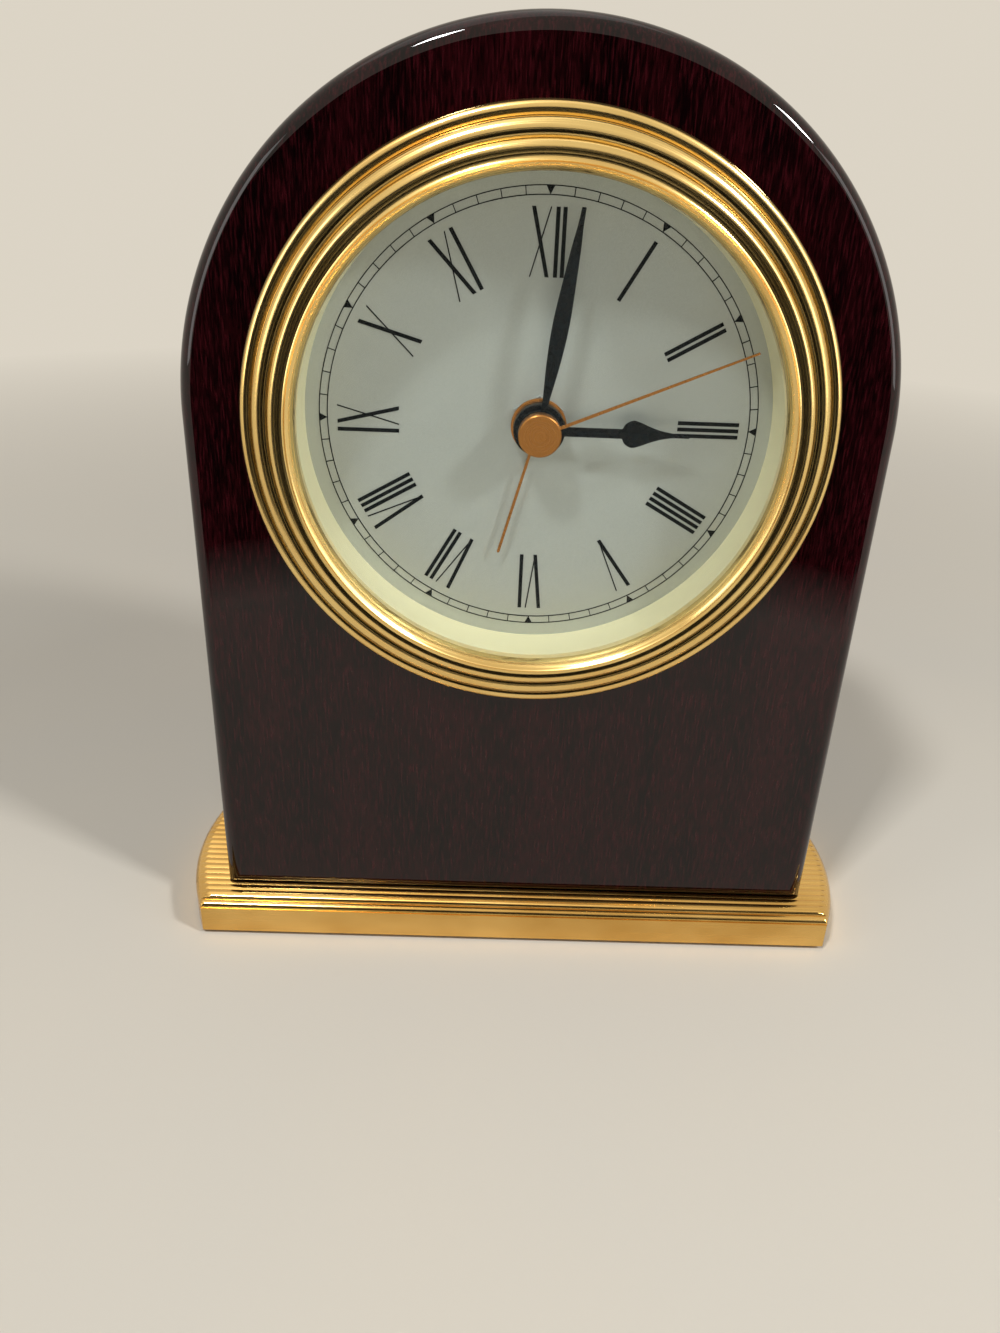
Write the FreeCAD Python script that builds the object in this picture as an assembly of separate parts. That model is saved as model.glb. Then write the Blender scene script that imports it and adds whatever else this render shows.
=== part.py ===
"""Arched table alarm clock: lacquered wood case, brass base and bezel, quartz alarm movement.

Millimetres. The origin is the middle of the underside, on the surface that the clock stands on.
+X is to the viewer's right, +Y is away from the viewer and +Z is up. Places along the hand shaft
are given as the distance behind the face of the dial, so what stands in front of it is negative.
Angles are clockwise from twelve o'clock, as seen from the front.
"""
import FreeCAD
import Part
import math
import os

V = FreeCAD.Vector
os.makedirs("parts", exist_ok=True)

# Wood case
case_width = 96.6
case_depth = 26.4
dial_height = 77.9
arch_rise = 0.8
case_edge_round = 2.4
bore_edge_round = 0.6

# Brass base plate with arc ends and a felt sheet under it
felt_thickness = 0.8
felt_inset = 2.6
base_length = 111.4
base_depth = 34.8
base_end_radius = 41.0
fascia_height = 4.5
moulding_drop = 1.5
moulding_width = 2.0
fascia_ledge = 0.3
lower_bead_width = 1.0
lower_bead_rise = 0.8
bead_quirk = 0.12
base_screw_spacing = 50.0
screw_head_radius = 3.0
screw_head_height = 1.8
screw_shank_radius = 1.6
screw_length = 16.0
screw_slot_width = 0.6
screw_slot_depth = 0.7
screw_play = 0.15

# Insert can that holds the dial and movement in the case
can_radius = 35.5
can_mouth_wall = 0.8
can_body_wall = 1.9
can_lip_thickness = 0.75
can_lip_air = 0.3
can_play = 0.1
band_thickness = 0.85
band_width = 5.0
band_back = 2.0
bore_play = 0.05
lug_radius = 2.7
lug_length = 4.0
lug_inset = 2.4
lug_angles = (30, 180, 330)

# Bezel over the can's mouth: three beads that step forward, a cove, and a lip that falls to the
# crystal, each with its width and the height where it ends
bezel_overhang = 4.5
bezel_rim = 0.65
bead_three_width = 1.66
bead_three_height = 1.35
bead_two_width = 2.37
bead_two_height = 2.63
bead_one_width = 1.62
bead_one_height = 3.67
cove_width = 0.95
lip_crest_height = 4.33
lip_width = 1.0
lip_height = 2.26
bead_bulge_share = 0.3
cove_bulge_share = 0.22
lip_edge = 0.16
bezel_skirt_wall = 0.9
bezel_skirt_reach = 1.4
bezel_under_gap = 0.1
bezel_rim_wall = 1.4

# Crystal and the cream ring between the dial and the crystal
crystal_thickness = 1.6
crystal_play = 0.1
flange_wall = 1.15
flange_foot = 1.0

# Dial, with the printed track and numerals inside the bezel's lip
track_margin = 1.9
track_width = 1.23
track_line = 0.13
tick_line = 0.12
hour_mark_width = 1.15
print_thickness = 0.06
dial_thickness = 0.5
dial_recess = 6.4
numeral_gap = 1.32
numeral_height = 8.55
thick_stroke = 0.53
thin_stroke = 0.17
bar_pitch = 0.88
cross_width = 2.6
vee_width = 2.35
glyph_gap = 0.55

# Rear cover
cover_thickness = 1.8
cover_recess = 2.6
cover_screw_radius = 0.9
cover_screw_head = 1.9
cover_screw_head_height = 0.9
cover_screw_length = 5.0
sound_hole_radius = 0.6
sound_hole_ring = 2.4
sound_hole_count = 6

# Battery, its tray and its hinged door
battery_radius = 5.25
battery_nub_radius = 1.9
battery_nub_length = 1.0
battery_play = 0.25
battery_spring_room = 3.5
tray_wall = 1.0
tray_air = 1.5
tray_corner_air = 0.7
tray_floor_back = 3.6
contact_plate = 0.4
contact_width = 6.0
contact_height = 8.0
door_thickness = 1.4
door_play = 0.2
hinge_pin_radius = 0.45
hinge_pin_length = 0.8
hinge_play = 0.06
door_grip_radius = 2.2
door_grip_depth = 0.5

# Setting knobs
knob_radius = 5.0
knob_height = 3.8
knob_flute_radius = 0.8
knob_flutes = 14
knob_air = 0.2
knob_dish_radius = 3.4
knob_dish_depth = 0.7
set_arbor_radius = 0.9
set_arbor_play = 0.08

# Alarm switch, below the can's wall
switch_wall_air = 2.4
switch_travel = 2.0
switch_stem_width = 4.0
switch_stem_height = 2.0
switch_plate_width = 12.0
switch_plate_height = 4.2
switch_plate_thickness = 0.8
switch_cap_width = 5.2
switch_cap_height = 3.4
switch_cap_thickness = 1.4
switch_rib = 0.5
switch_play = 0.15

# Movement plates, pillars and screws
front_plate_thickness = 1.6
front_plate_play = 0.2
middle_plate_back = 6.2
middle_plate_thickness = 1.2
train_plate_back = 14.3
train_plate_thickness = 1.0
pillar_radius = 1.5
plate_margin = 2.4
plate_screw_radius = 0.6
plate_screw_head = 1.3
plate_screw_head_height = 0.25
plate_screw_length = 3.0
bush_radius = 3.0
bush_front = 0.78
nut_flats = 7.0
nut_height = 0.7
nut_play = 0.04

# Concentric shafts, from the alarm tube inwards
shaft_play = 0.05
alarm_tube_radius = 2.3
tube_wall = 0.55
second_arbor_radius = 0.5
arbor_radius = 0.4
pivot_play = 0.05

# Hands
alarm_hub_radius = 3.87
alarm_hub_front = 1.35
alarm_hub_thickness = 0.4
alarm_hand_overlap = 0.05
alarm_hand_width = 0.4
hour_hub_radius = 3.55
hour_hub_front = 3.5
hour_hub_back = 1.6
hour_hand_overlap = 1.2
hour_rod_width = 1.3
hour_bulb_width = 3.74
hour_neck_width = 0.6
hand_thickness = 0.3
minute_hub_radius = 3.05
minute_hub_front = 4.65
minute_hub_thickness = 0.9
minute_hand_gap = 1.9
minute_hand_width = 2.2
cap_radius = 2.92
cap_front = 6.45
cap_back = 4.9
cap_edge = 0.18
cap_wall = 0.6
second_hand_gap = 0.1
second_hand_width = 0.46
second_tip_width = 0.3
second_hand_front = 6.1
second_hand_thickness = 0.2
alarm_angle = 195.0
hour_angle = 90.2
minute_angle = 8.2
second_angle = 67.1

# Outlines of the leaf and the spade, as shares of the hand's length and greatest width
leaf_shares = (
    (0.16, 0.42),
    (0.34, 0.85),
    (0.51, 1.0),
    (0.70, 0.77),
    (0.84, 0.54),
    (0.92, 0.34),
    (1.0, 0.25),
)
spade_shares = (
    (0.552, 0.35),
    (0.572, 0.74),
    (0.62, 1.0),
    (0.675, 0.85),
    (0.738, 0.57),
    (0.805, 0.33),
    (0.885, 0.16),
)

# Plan of the movement, as shares of the radius that it takes up in the can
movement_air = 3.6
alarm_distance_share = 0.5
reduction_distance_share = 0.25
centre_distance_share = 0.24
second_distance_share = 0.243
rotor_distance_share = 0.16
pillar_side_share = 0.48
pillar_low_share = 0.19
pillar_high_share = 0.4
pillar_high_left_share = 0.53
yoke_left_share = 0.43
yoke_right_share = 0.32
board_width_share = 0.34
board_height_share = 0.43
board_low_share = 0.13

# Gear train: tooth counts and the depth of each layer behind the dial
wheel_thickness = 0.8
alarm_wheel_back = 2.5
hour_wheel_back = 3.7
cannon_wheel_back = 5.0
centre_wheel_back = 7.8
third_wheel_back = 9.0
second_wheel_back = 10.2
intermediate_wheel_back = 11.4
alarm_teeth = 60
alarm_set_teeth = 15
hour_teeth = 40
reduction_pinion_teeth = 10
cannon_teeth = 12
reduction_teeth = 36
centre_teeth = 64
third_pinion_teeth = 8
third_teeth = 60
second_pinion_teeth = 8
second_teeth = 48
intermediate_pinion_teeth = 8
intermediate_teeth = 40
rotor_teeth = 8
third_angle = 44.0
intermediate_angle = -45.0
addendum_share = 0.75
dedendum_share = 1.1
tip_share = 0.16
root_share = 0.28
spoke_count = 3
spoke_hole_share = 0.5
spoke_hole_size_share = 0.2

# Stepping motor, circuit and sounder
magnet_back = 12.5
magnet_thickness = 1.5
stator_gap = 0.5
stator_back = 12.6
stator_thickness = 0.8
stator_bridge = 0.8
yoke_air = 0.5
leg_width = 3.4
core_width = 2.2
coil_air = 2.0
winding_radius = 2.9
bobbin_radius = 3.1
bobbin_cheek = 0.8
bobbin_tube_wall = 0.35
bobbin_side_gap = 0.4
board_air = 0.7
board_back = 11.5
board_thickness = 0.8
board_post_radius = 1.2
board_post_inset = 2.5
chip_size = 4.0
chip_thickness = 1.0
quartz_radius = 1.0
quartz_length = 6.0
buzzer_air = 0.3
buzzer_wall_air = 3.5
buzzer_thickness = 7.0
buzzer_up = 6.0
leaf_width = 2.0
leaf_thickness = 0.2
leaf_reach = 3.4
leaf_gap = 0.15

cut_over = 1.0

# Places that follow from the sizes above
base_top = felt_thickness + fascia_height + moulding_drop
hub_z = base_top + dial_height
case_front_y = -case_depth / 2
dial_y = case_front_y + dial_recess
bore_radius = can_radius + band_thickness + bore_play
can_body_radius = can_radius - can_body_wall
can_mouth_radius = can_radius - can_mouth_wall
dial_radius = can_mouth_radius - can_play
bezel_radius = can_radius + bezel_overhang
can_lip_radius = bezel_radius - bezel_rim_wall - can_lip_air
bead_three_inner = bezel_radius - bead_three_width
bead_two_inner = bead_three_inner - bead_two_width
bead_one_inner = bead_two_inner - bead_one_width
lip_crest_radius = bead_one_inner - cove_width
lip_radius = lip_crest_radius - lip_width
crystal_front = dial_recess + lip_height - lip_edge
crystal_back = crystal_front - crystal_thickness
crystal_radius = lip_radius + flange_wall
track_radius = lip_radius - track_margin
numeral_outer = track_radius - track_width - numeral_gap
numeral_inner = numeral_outer - numeral_height
alarm_hand_length = numeral_inner + alarm_hand_overlap
hour_hand_length = numeral_inner + hour_hand_overlap
minute_hand_length = track_radius - minute_hand_gap
second_hand_length = track_radius - second_hand_gap
cover_back = case_depth - dial_recess - cover_recess
cover_inside = cover_back - cover_thickness
lug_circle = can_body_radius - lug_inset
pivot_front = middle_plate_back + middle_plate_thickness / 2
pivot_back = train_plate_back + train_plate_thickness / 2
hour_tube_radius = alarm_tube_radius - tube_wall - shaft_play
minute_tube_radius = hour_tube_radius - tube_wall - shaft_play

# Centre distances, and the module that each pair of wheels needs for its own
movement_radius = can_body_radius - movement_air
alarm_distance = movement_radius * alarm_distance_share
reduction_distance = movement_radius * reduction_distance_share
centre_distance = movement_radius * centre_distance_share
second_distance = movement_radius * second_distance_share
rotor_distance = movement_radius * rotor_distance_share
alarm_module = 2 * alarm_distance / (alarm_teeth + alarm_set_teeth)
hour_module = 2 * reduction_distance / (hour_teeth + reduction_pinion_teeth)
cannon_module = 2 * reduction_distance / (cannon_teeth + reduction_teeth)
centre_module = 2 * centre_distance / (centre_teeth + third_pinion_teeth)
third_module = 2 * centre_distance / (third_teeth + second_pinion_teeth)
second_module = 2 * second_distance / (second_teeth + intermediate_pinion_teeth)
rotor_module = 2 * rotor_distance / (intermediate_teeth + rotor_teeth)


def radial(radius, angle):
    """Place at this radius and clock angle, as (x, height above the hub)."""
    turn = math.radians(angle)
    return radius * math.sin(turn), radius * math.cos(turn)


hub = (0.0, 0.0)
reduction_place = (-reduction_distance, 0.0)
time_set_place = (-2 * reduction_distance, 0.0)
alarm_set_place = (alarm_distance, 0.0)
third_place = radial(centre_distance, third_angle)
intermediate_place = radial(second_distance, intermediate_angle)
rotor_place = (intermediate_place[0], intermediate_place[1] + rotor_distance)
pillar_side = movement_radius * pillar_side_share
pillar_low = -movement_radius * pillar_low_share
pillar_high = movement_radius * pillar_high_share
pillar_high_left = movement_radius * pillar_high_left_share
pillar_places = (
    (-pillar_side, pillar_low),
    (pillar_side, pillar_low),
    (pillar_side, pillar_high),
    (-pillar_high_left, pillar_high),
)
plate_left = -pillar_high_left - plate_margin
plate_right = pillar_side + plate_margin
plate_low = pillar_low - plate_margin / 2
plate_high = pillar_high + plate_margin

# Motor: the yoke keeps clear of the intermediate arbor, and the magnet fits inside the yoke
yoke_half_height = rotor_distance - arbor_radius - yoke_air
magnet_radius = yoke_half_height - stator_gap - stator_bridge
yoke_left = -movement_radius * yoke_left_share
yoke_right = movement_radius * yoke_right_share
core_height = rotor_place[1] + yoke_half_height + coil_air + bobbin_radius

# Board, sounder, switch and cell fill the room between the plates and the can's wall
board_left = plate_right + board_air
board_width = movement_radius * board_width_share
board_low = movement_radius * board_low_share
board_height = movement_radius * board_height_share
buzzer_radius = (can_body_radius + plate_left - buzzer_air - buzzer_wall_air) / 2
buzzer_left = buzzer_radius + buzzer_air - plate_left
switch_reach = switch_plate_width / 2 + switch_travel
switch_ceiling = math.sqrt(can_body_radius**2 - switch_reach**2) - switch_wall_air
switch_height = switch_ceiling - switch_rib - switch_play - switch_plate_height / 2
switch_slot_half = switch_stem_width / 2 + switch_travel + switch_play
tray_half = battery_radius + battery_play
tray_high = plate_low - tray_air - tray_wall
tray_low = tray_high - 2 * tray_half
battery_drop = tray_half - tray_high
tray_corner = math.sqrt(can_body_radius**2 - (tray_low - tray_wall) ** 2) - tray_corner_air
tray_length = 2 * (tray_corner - tray_wall)
battery_length = tray_length - battery_spring_room - contact_plate - battery_nub_length
hinge_back = cover_back - door_thickness / 2
hinge_up = tray_low + door_play + door_thickness / 2


def save(name, shape):
    """Write one sub-part."""
    shape.exportStep("parts/" + name + ".step")


def point(x, back, up):
    """Point from its place across, behind the dial's face, and above the hub."""
    return V(x, dial_y + back, hub_z + up)


def rod(radius, front, back, place=hub):
    """Round bar along the hand shaft's direction."""
    return Part.makeCylinder(radius, back - front, point(place[0], front, place[1]), V(0, 1, 0))


def tube(outer, inner, front, back, place=hub):
    """Round tube along the hand shaft's direction."""
    hole = rod(inner, front - cut_over, back + cut_over, place)
    return rod(outer, front, back, place).cut(hole)


def block(left, right, front, back, low, high):
    """Box between planes, measured from the hub."""
    return Part.makeBox(right - left, back - front, high - low, point(left, front, low))


def chain(start, steps):
    """Closed outline from a start point: each step is an end point, or a pair of middle and end."""
    edges = []
    here = start
    for step in steps + [start]:
        if isinstance(step, tuple):
            edges.append(Part.Arc(here, step[0], step[1]).toShape())
            here = step[1]
        elif step != here:
            edges.append(Part.makeLine(here, step))
            here = step
    return Part.Face(Part.Wire(edges))


def lathe(start, steps):
    """Ring turned about the hand shaft from an outline of (radius, back) pairs."""
    def turn_point(pair):
        return point(pair[0], pair[1], 0)

    turned = []
    for step in steps:
        if isinstance(step[0], tuple):
            turned.append((turn_point(step[0]), turn_point(step[1])))
        else:
            turned.append(turn_point(step))
    face = chain(turn_point(start), turned)
    return face.revolve(point(0, 0, 0), V(0, 1, 0), 360)


def bulge(start, end, share):
    """Arc step from start to end, its middle pushed towards the viewer and outwards."""
    across = (end[0] - start[0], end[1] - start[1])
    middle = ((start[0] + end[0]) / 2, (start[1] + end[1]) / 2)
    return (middle[0] - across[1] * share, middle[1] + across[0] * share), end


def flat(outline, front, thickness, angle=0.0, place=hub):
    """Plate from an outline of (across, outwards) pairs, turned to a clock angle about its place."""
    turned = []
    for across, outwards in outline:
        x, up = radial(outwards, angle)
        side = radial(across, angle + 90)
        turned.append(point(place[0] + x + side[0], front, place[1] + up + side[1]))
    face = Part.Face(Part.makePolygon(turned + [turned[0]]))
    return face.extrude(V(0, thickness, 0))


def gear(teeth, module, back, place, tooth_angle):
    """Spur wheel with straight-flanked teeth, one of them centred on tooth_angle."""
    pitch_radius = module * teeth / 2
    tip = pitch_radius + addendum_share * module
    root = pitch_radius - dedendum_share * module
    step = 360.0 / teeth
    points = []
    for tooth in range(teeth):
        centre = tooth_angle + tooth * step
        for radius, turn in (
            (root, -root_share),
            (tip, -tip_share),
            (tip, tip_share),
            (root, root_share),
        ):
            x, up = radial(radius, centre + turn * step)
            points.append(point(place[0] + x, back, place[1] + up))
    face = Part.Face(Part.makePolygon(points + [points[0]]))
    return face.extrude(V(0, wheel_thickness, 0))


def gap_angle(teeth, towards):
    """Tooth angle that puts the middle of a gap towards this direction."""
    return towards + 180.0 / teeth


def crossed_out(wheel, teeth, module, back, place):
    """Lighten a wheel with round holes between its spokes."""
    pitch_radius = module * teeth / 2
    for index in range(spoke_count):
        x, up = radial(pitch_radius * spoke_hole_share, index * 360.0 / spoke_count + 30)
        hole = rod(
            pitch_radius * spoke_hole_size_share,
            back - cut_over,
            back + wheel_thickness + cut_over,
            (place[0] + x, place[1] + up),
        )
        wheel = wheel.cut(hole)
    return wheel


def arch_outline():
    """Face of the case's arched front, in its front plane."""
    half = case_width / 2
    spring = hub_z + arch_rise
    return chain(
        V(-half, case_front_y, base_top),
        [
            V(-half, case_front_y, spring),
            (V(0, case_front_y, spring + half), V(half, case_front_y, spring)),
            V(half, case_front_y, base_top),
        ],
    )


def on_plane(edge, y):
    """True for an edge that lies in this front-to-back plane."""
    box = edge.BoundBox
    return abs(box.YMin - y) < shaft_play and abs(box.YMax - y) < shaft_play


def wood_case():
    """Arched block, rounded all round at front and back, with one through bore for the insert."""
    body = arch_outline().extrude(V(0, case_depth, 0))
    rims = [e for e in body.Edges if on_plane(e, case_front_y) or on_plane(e, -case_front_y)]
    body = body.makeFillet(case_edge_round, rims)
    body = body.cut(rod(bore_radius, -dial_recess - cut_over, case_depth - dial_recess + cut_over))
    back_rim = [
        e
        for e in body.Edges
        if on_plane(e, -case_front_y) and abs(e.BoundBox.XLength - 2 * bore_radius) < shaft_play
    ]
    body = body.makeFillet(bore_edge_round, back_rim)
    for side in (-1, 1):
        pilot = Part.makeCylinder(
            screw_shank_radius + shaft_play,
            screw_length,
            V(side * base_screw_spacing / 2, 0, base_top - screw_head_height),
        )
        body = body.cut(pilot)
    save("wood_case", body)


def moulding_profile():
    """Section of the base across its depth: fascia, two beads, and the flat top."""
    half = base_depth / 2
    floor = felt_thickness
    ledge = floor + fascia_height
    lower = (half - fascia_ledge, ledge)
    lower_top = (half - fascia_ledge - lower_bead_width, ledge + lower_bead_rise)
    upper = (lower_top[0] - bead_quirk, lower_top[1])
    upper_top = (half - moulding_width, base_top)

    def bead(start, end):
        centre = ((start[0] + end[0]) / 2, (start[1] + end[1]) / 2)
        push = bead_bulge_share
        return centre[0] + (end[1] - start[1]) * push, centre[1] - (end[0] - start[0]) * push

    lower_mid = bead(lower, lower_top)
    upper_mid = bead(upper, upper_top)
    right = [lower, lower_mid, lower_top, upper, upper_mid, upper_top]
    front = [V(0, -y, z) for y, z in right]
    back = [V(0, y, z) for y, z in right]
    return chain(
        V(0, -half, floor),
        [
            V(0, -half, ledge),
            front[0],
            (front[1], front[2]),
            front[3],
            (front[4], front[5]),
            back[5],
            (back[4], back[3]),
            back[2],
            (back[1], back[0]),
            V(0, half, ledge),
            V(0, half, floor),
        ],
    )


def end_disc():
    """Disc whose rim is the moulded right end of the base: fascia, rounded bead, shallow slope."""
    centre = base_length / 2 - base_end_radius
    ledge = felt_thickness + fascia_height
    rim = base_end_radius
    bead_end = (rim - moulding_width / 2, base_top - (moulding_drop - lower_bead_rise) / 2)
    bead_mid = ((rim + bead_end[0]) / 2 + bead_quirk, (ledge + bead_end[1]) / 2 + bead_quirk)
    section = chain(
        V(centre, 0, felt_thickness),
        [
            V(centre + rim, 0, felt_thickness),
            V(centre + rim, 0, ledge),
            (V(centre + bead_mid[0], 0, bead_mid[1]), V(centre + bead_end[0], 0, bead_end[1])),
            V(centre + rim - moulding_width, 0, base_top),
            V(centre, 0, base_top),
        ],
    )
    return section.revolve(V(centre, 0, 0), V(0, 0, 1), 360)


def base_plate():
    """Moulded bar with arc ends, drilled and recessed underneath for the two case screws."""
    half = moulding_profile().extrude(V(base_length / 2, 0, 0)).common(end_disc())
    plate = half.fuse(half.mirror(V(0, 0, 0), V(1, 0, 0))).removeSplitter()
    for side in (-1, 1):
        x = side * base_screw_spacing / 2
        head = Part.makeCylinder(
            screw_head_radius + screw_play,
            screw_head_height + screw_play,
            V(x, 0, felt_thickness),
        )
        shank = Part.makeCylinder(screw_shank_radius + screw_play, base_top, V(x, 0, felt_thickness))
        plate = plate.cut(head).cut(shank)
    save("base_plate", plate)


def felt_sheet():
    """Felt that follows the plan of the base, a little smaller, and carries the clock."""
    half_depth = base_depth / 2 - felt_inset
    radius = base_end_radius - felt_inset
    centre = base_length / 2 - base_end_radius
    corner = centre + math.sqrt(radius * radius - half_depth * half_depth)
    tip = centre + radius
    outline = chain(
        V(-corner, -half_depth, 0),
        [
            V(corner, -half_depth, 0),
            (V(tip, 0, 0), V(corner, half_depth, 0)),
            V(-corner, half_depth, 0),
            (V(-tip, 0, 0), V(-corner, -half_depth, 0)),
        ],
    )
    save("felt_sheet", outline.extrude(V(0, 0, felt_thickness)))


def base_screws():
    """Two pan-head screws that hold the case down on the base."""
    screws = []
    for side in (-1, 1):
        x = side * base_screw_spacing / 2
        head = Part.makeCylinder(screw_head_radius, screw_head_height, V(x, 0, felt_thickness))
        slot = Part.makeBox(
            2 * screw_head_radius + cut_over,
            screw_slot_width,
            screw_slot_depth,
            V(x - screw_head_radius - cut_over / 2, -screw_slot_width / 2, felt_thickness),
        )
        shank = Part.makeCylinder(screw_shank_radius, screw_length, V(x, 0, felt_thickness))
        screws.append(head.cut(slot).fuse(shank.cut(slot)))
    save("base_screws", Part.makeCompound(screws))


def bezel():
    """Polished ring: rim on the case, three beads, cove and lip, and a skirt inside the can."""
    front = -dial_recess
    rim_foot = (bezel_radius, front)
    rim_top = (bezel_radius, front - bezel_rim)
    three = (bead_three_inner, front - bead_three_height)
    two = (bead_two_inner, front - bead_two_height)
    one = (bead_one_inner, front - bead_one_height)
    crest = (lip_crest_radius, front - lip_crest_height)
    lip = (lip_radius, front - lip_height)
    seat = -crystal_front
    skirt_in = crystal_radius + crystal_play
    skirt_out = skirt_in + bezel_skirt_wall
    under = front - can_lip_thickness - bezel_under_gap
    ring = lathe(
        rim_foot,
        [
            rim_top,
            bulge(rim_top, three, bead_bulge_share),
            bulge(three, two, bead_bulge_share),
            bulge(two, one, bead_bulge_share),
            bulge(one, crest, -cove_bulge_share),
            lip,
            (lip_radius, seat),
            (skirt_in, seat),
            (skirt_in, front + bezel_skirt_reach),
            (skirt_out, front + bezel_skirt_reach),
            (skirt_out, under),
            (bezel_radius - bezel_rim_wall, under),
            (bezel_radius - bezel_rim_wall, front),
        ],
    )
    save("bezel", ring)


def crystal():
    """Flat glass behind the lip."""
    save("crystal", rod(crystal_radius, -crystal_front, -crystal_back))


def flange_ring():
    """Cream ring that holds the dial back from the crystal, with a foot that centres it."""
    ring = tube(crystal_radius - crystal_play / 2, lip_radius, -crystal_back, 0)
    foot = tube(dial_radius, lip_radius, -flange_foot, 0)
    save("flange_ring", ring.fuse(foot).removeSplitter())


def dial():
    """Thin metal disc with the hole for the bush."""
    save("dial", tube(dial_radius, bush_radius + shaft_play, 0, dial_thickness))


def bar(centre, width):
    """Upright stroke of a numeral."""
    half = width / 2
    return [
        (centre - half, numeral_inner),
        (centre + half, numeral_inner),
        (centre + half, numeral_outer),
        (centre - half, numeral_outer),
    ]


def slant(inner, outer, width):
    """Leaning stroke of a numeral, cut square to the radius at both ends."""
    half = width / 2
    return [
        (inner - half, numeral_inner),
        (inner + half, numeral_inner),
        (outer + half, numeral_outer),
        (outer - half, numeral_outer),
    ]


def numeral(letters):
    """Strokes of a Roman numeral, centred, each as an outline."""
    widths = {"I": thick_stroke, "V": vee_width, "X": cross_width}
    pairs = zip(letters, letters[1:])
    gaps = [bar_pitch - thick_stroke if a == b == "I" else glyph_gap for a, b in pairs] + [0.0]
    total = sum(widths[letter] for letter in letters) + sum(gaps)
    left = -total / 2
    strokes = []
    for letter, gap in zip(letters, gaps):
        middle = left + widths[letter] / 2
        near = left + thick_stroke / 2
        far = left + widths[letter] - thin_stroke / 2
        if letter == "I":
            strokes.append(bar(middle, thick_stroke))
        elif letter == "V":
            strokes.append(slant(middle, near, thick_stroke))
            strokes.append(slant(middle, far, thin_stroke))
        else:
            strokes.append(slant(left + widths[letter] - thick_stroke / 2, near, thick_stroke))
            strokes.append(slant(left + thin_stroke / 2, far, thin_stroke))
        left += widths[letter] + gap
    return strokes


def dial_print():
    """Printed minute track with ticks and hour marks, and the twelve numerals."""
    inner = track_radius - track_width
    pieces = [
        tube(track_radius, track_radius - track_line, -print_thickness, 0),
        tube(inner + track_line, inner, -print_thickness, 0),
    ]
    half = tick_line / 2
    tick = [
        (-half, inner + half),
        (half, inner + half),
        (half, track_radius - half),
        (-half, track_radius - half),
    ]
    mark_half = hour_mark_width / 2
    mark_tip = (0, inner + track_line / 2)
    mark = [mark_tip, (mark_half, track_radius - half), (-mark_half, track_radius - half)]
    for minute in range(60):
        outline = mark if minute % 5 == 0 else tick
        pieces.append(flat(outline, -print_thickness, print_thickness, minute * 6))
    names = ("XII", "I", "II", "III", "IIII", "V", "VI", "VII", "VIII", "IX", "X", "XI")
    for hour, letters in enumerate(names):
        for outline in numeral(letters):
            pieces.append(flat(outline, -print_thickness, print_thickness, hour * 30))
    save("dial_print", pieces[0].multiFuse(pieces[1:]).removeSplitter())


def lug_places():
    """Places of the three cover screws."""
    return [radial(lug_circle, angle) for angle in lug_angles]


def insert_can():
    """Moulded barrel with a front lip on the case, a dial seat, and lugs for the cover screws."""
    lip_front = -dial_recess - can_lip_thickness
    body = tube(can_radius, can_body_radius, dial_thickness, cover_back)
    mouth = tube(can_radius, can_mouth_radius, lip_front, dial_thickness)
    lip = tube(can_lip_radius, can_mouth_radius, lip_front, -dial_recess)
    can = body.fuse(mouth).fuse(lip)
    for place in lug_places():
        lug = rod(lug_radius, cover_inside - lug_length, cover_inside, place)
        can = can.fuse(lug)
    rim = tube(bezel_radius, can_radius, 0, cover_back)
    can = can.cut(rim)
    for place in lug_places():
        hole = rod(cover_screw_radius + shaft_play, cover_inside - lug_length, cover_back, place)
        can = can.cut(hole)
    save("insert_can", can.removeSplitter())


def grip_band():
    """Rubber band round the can that grips the bore of the case."""
    save("grip_band", tube(can_radius + band_thickness, can_radius, band_back, band_back + band_width))


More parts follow.
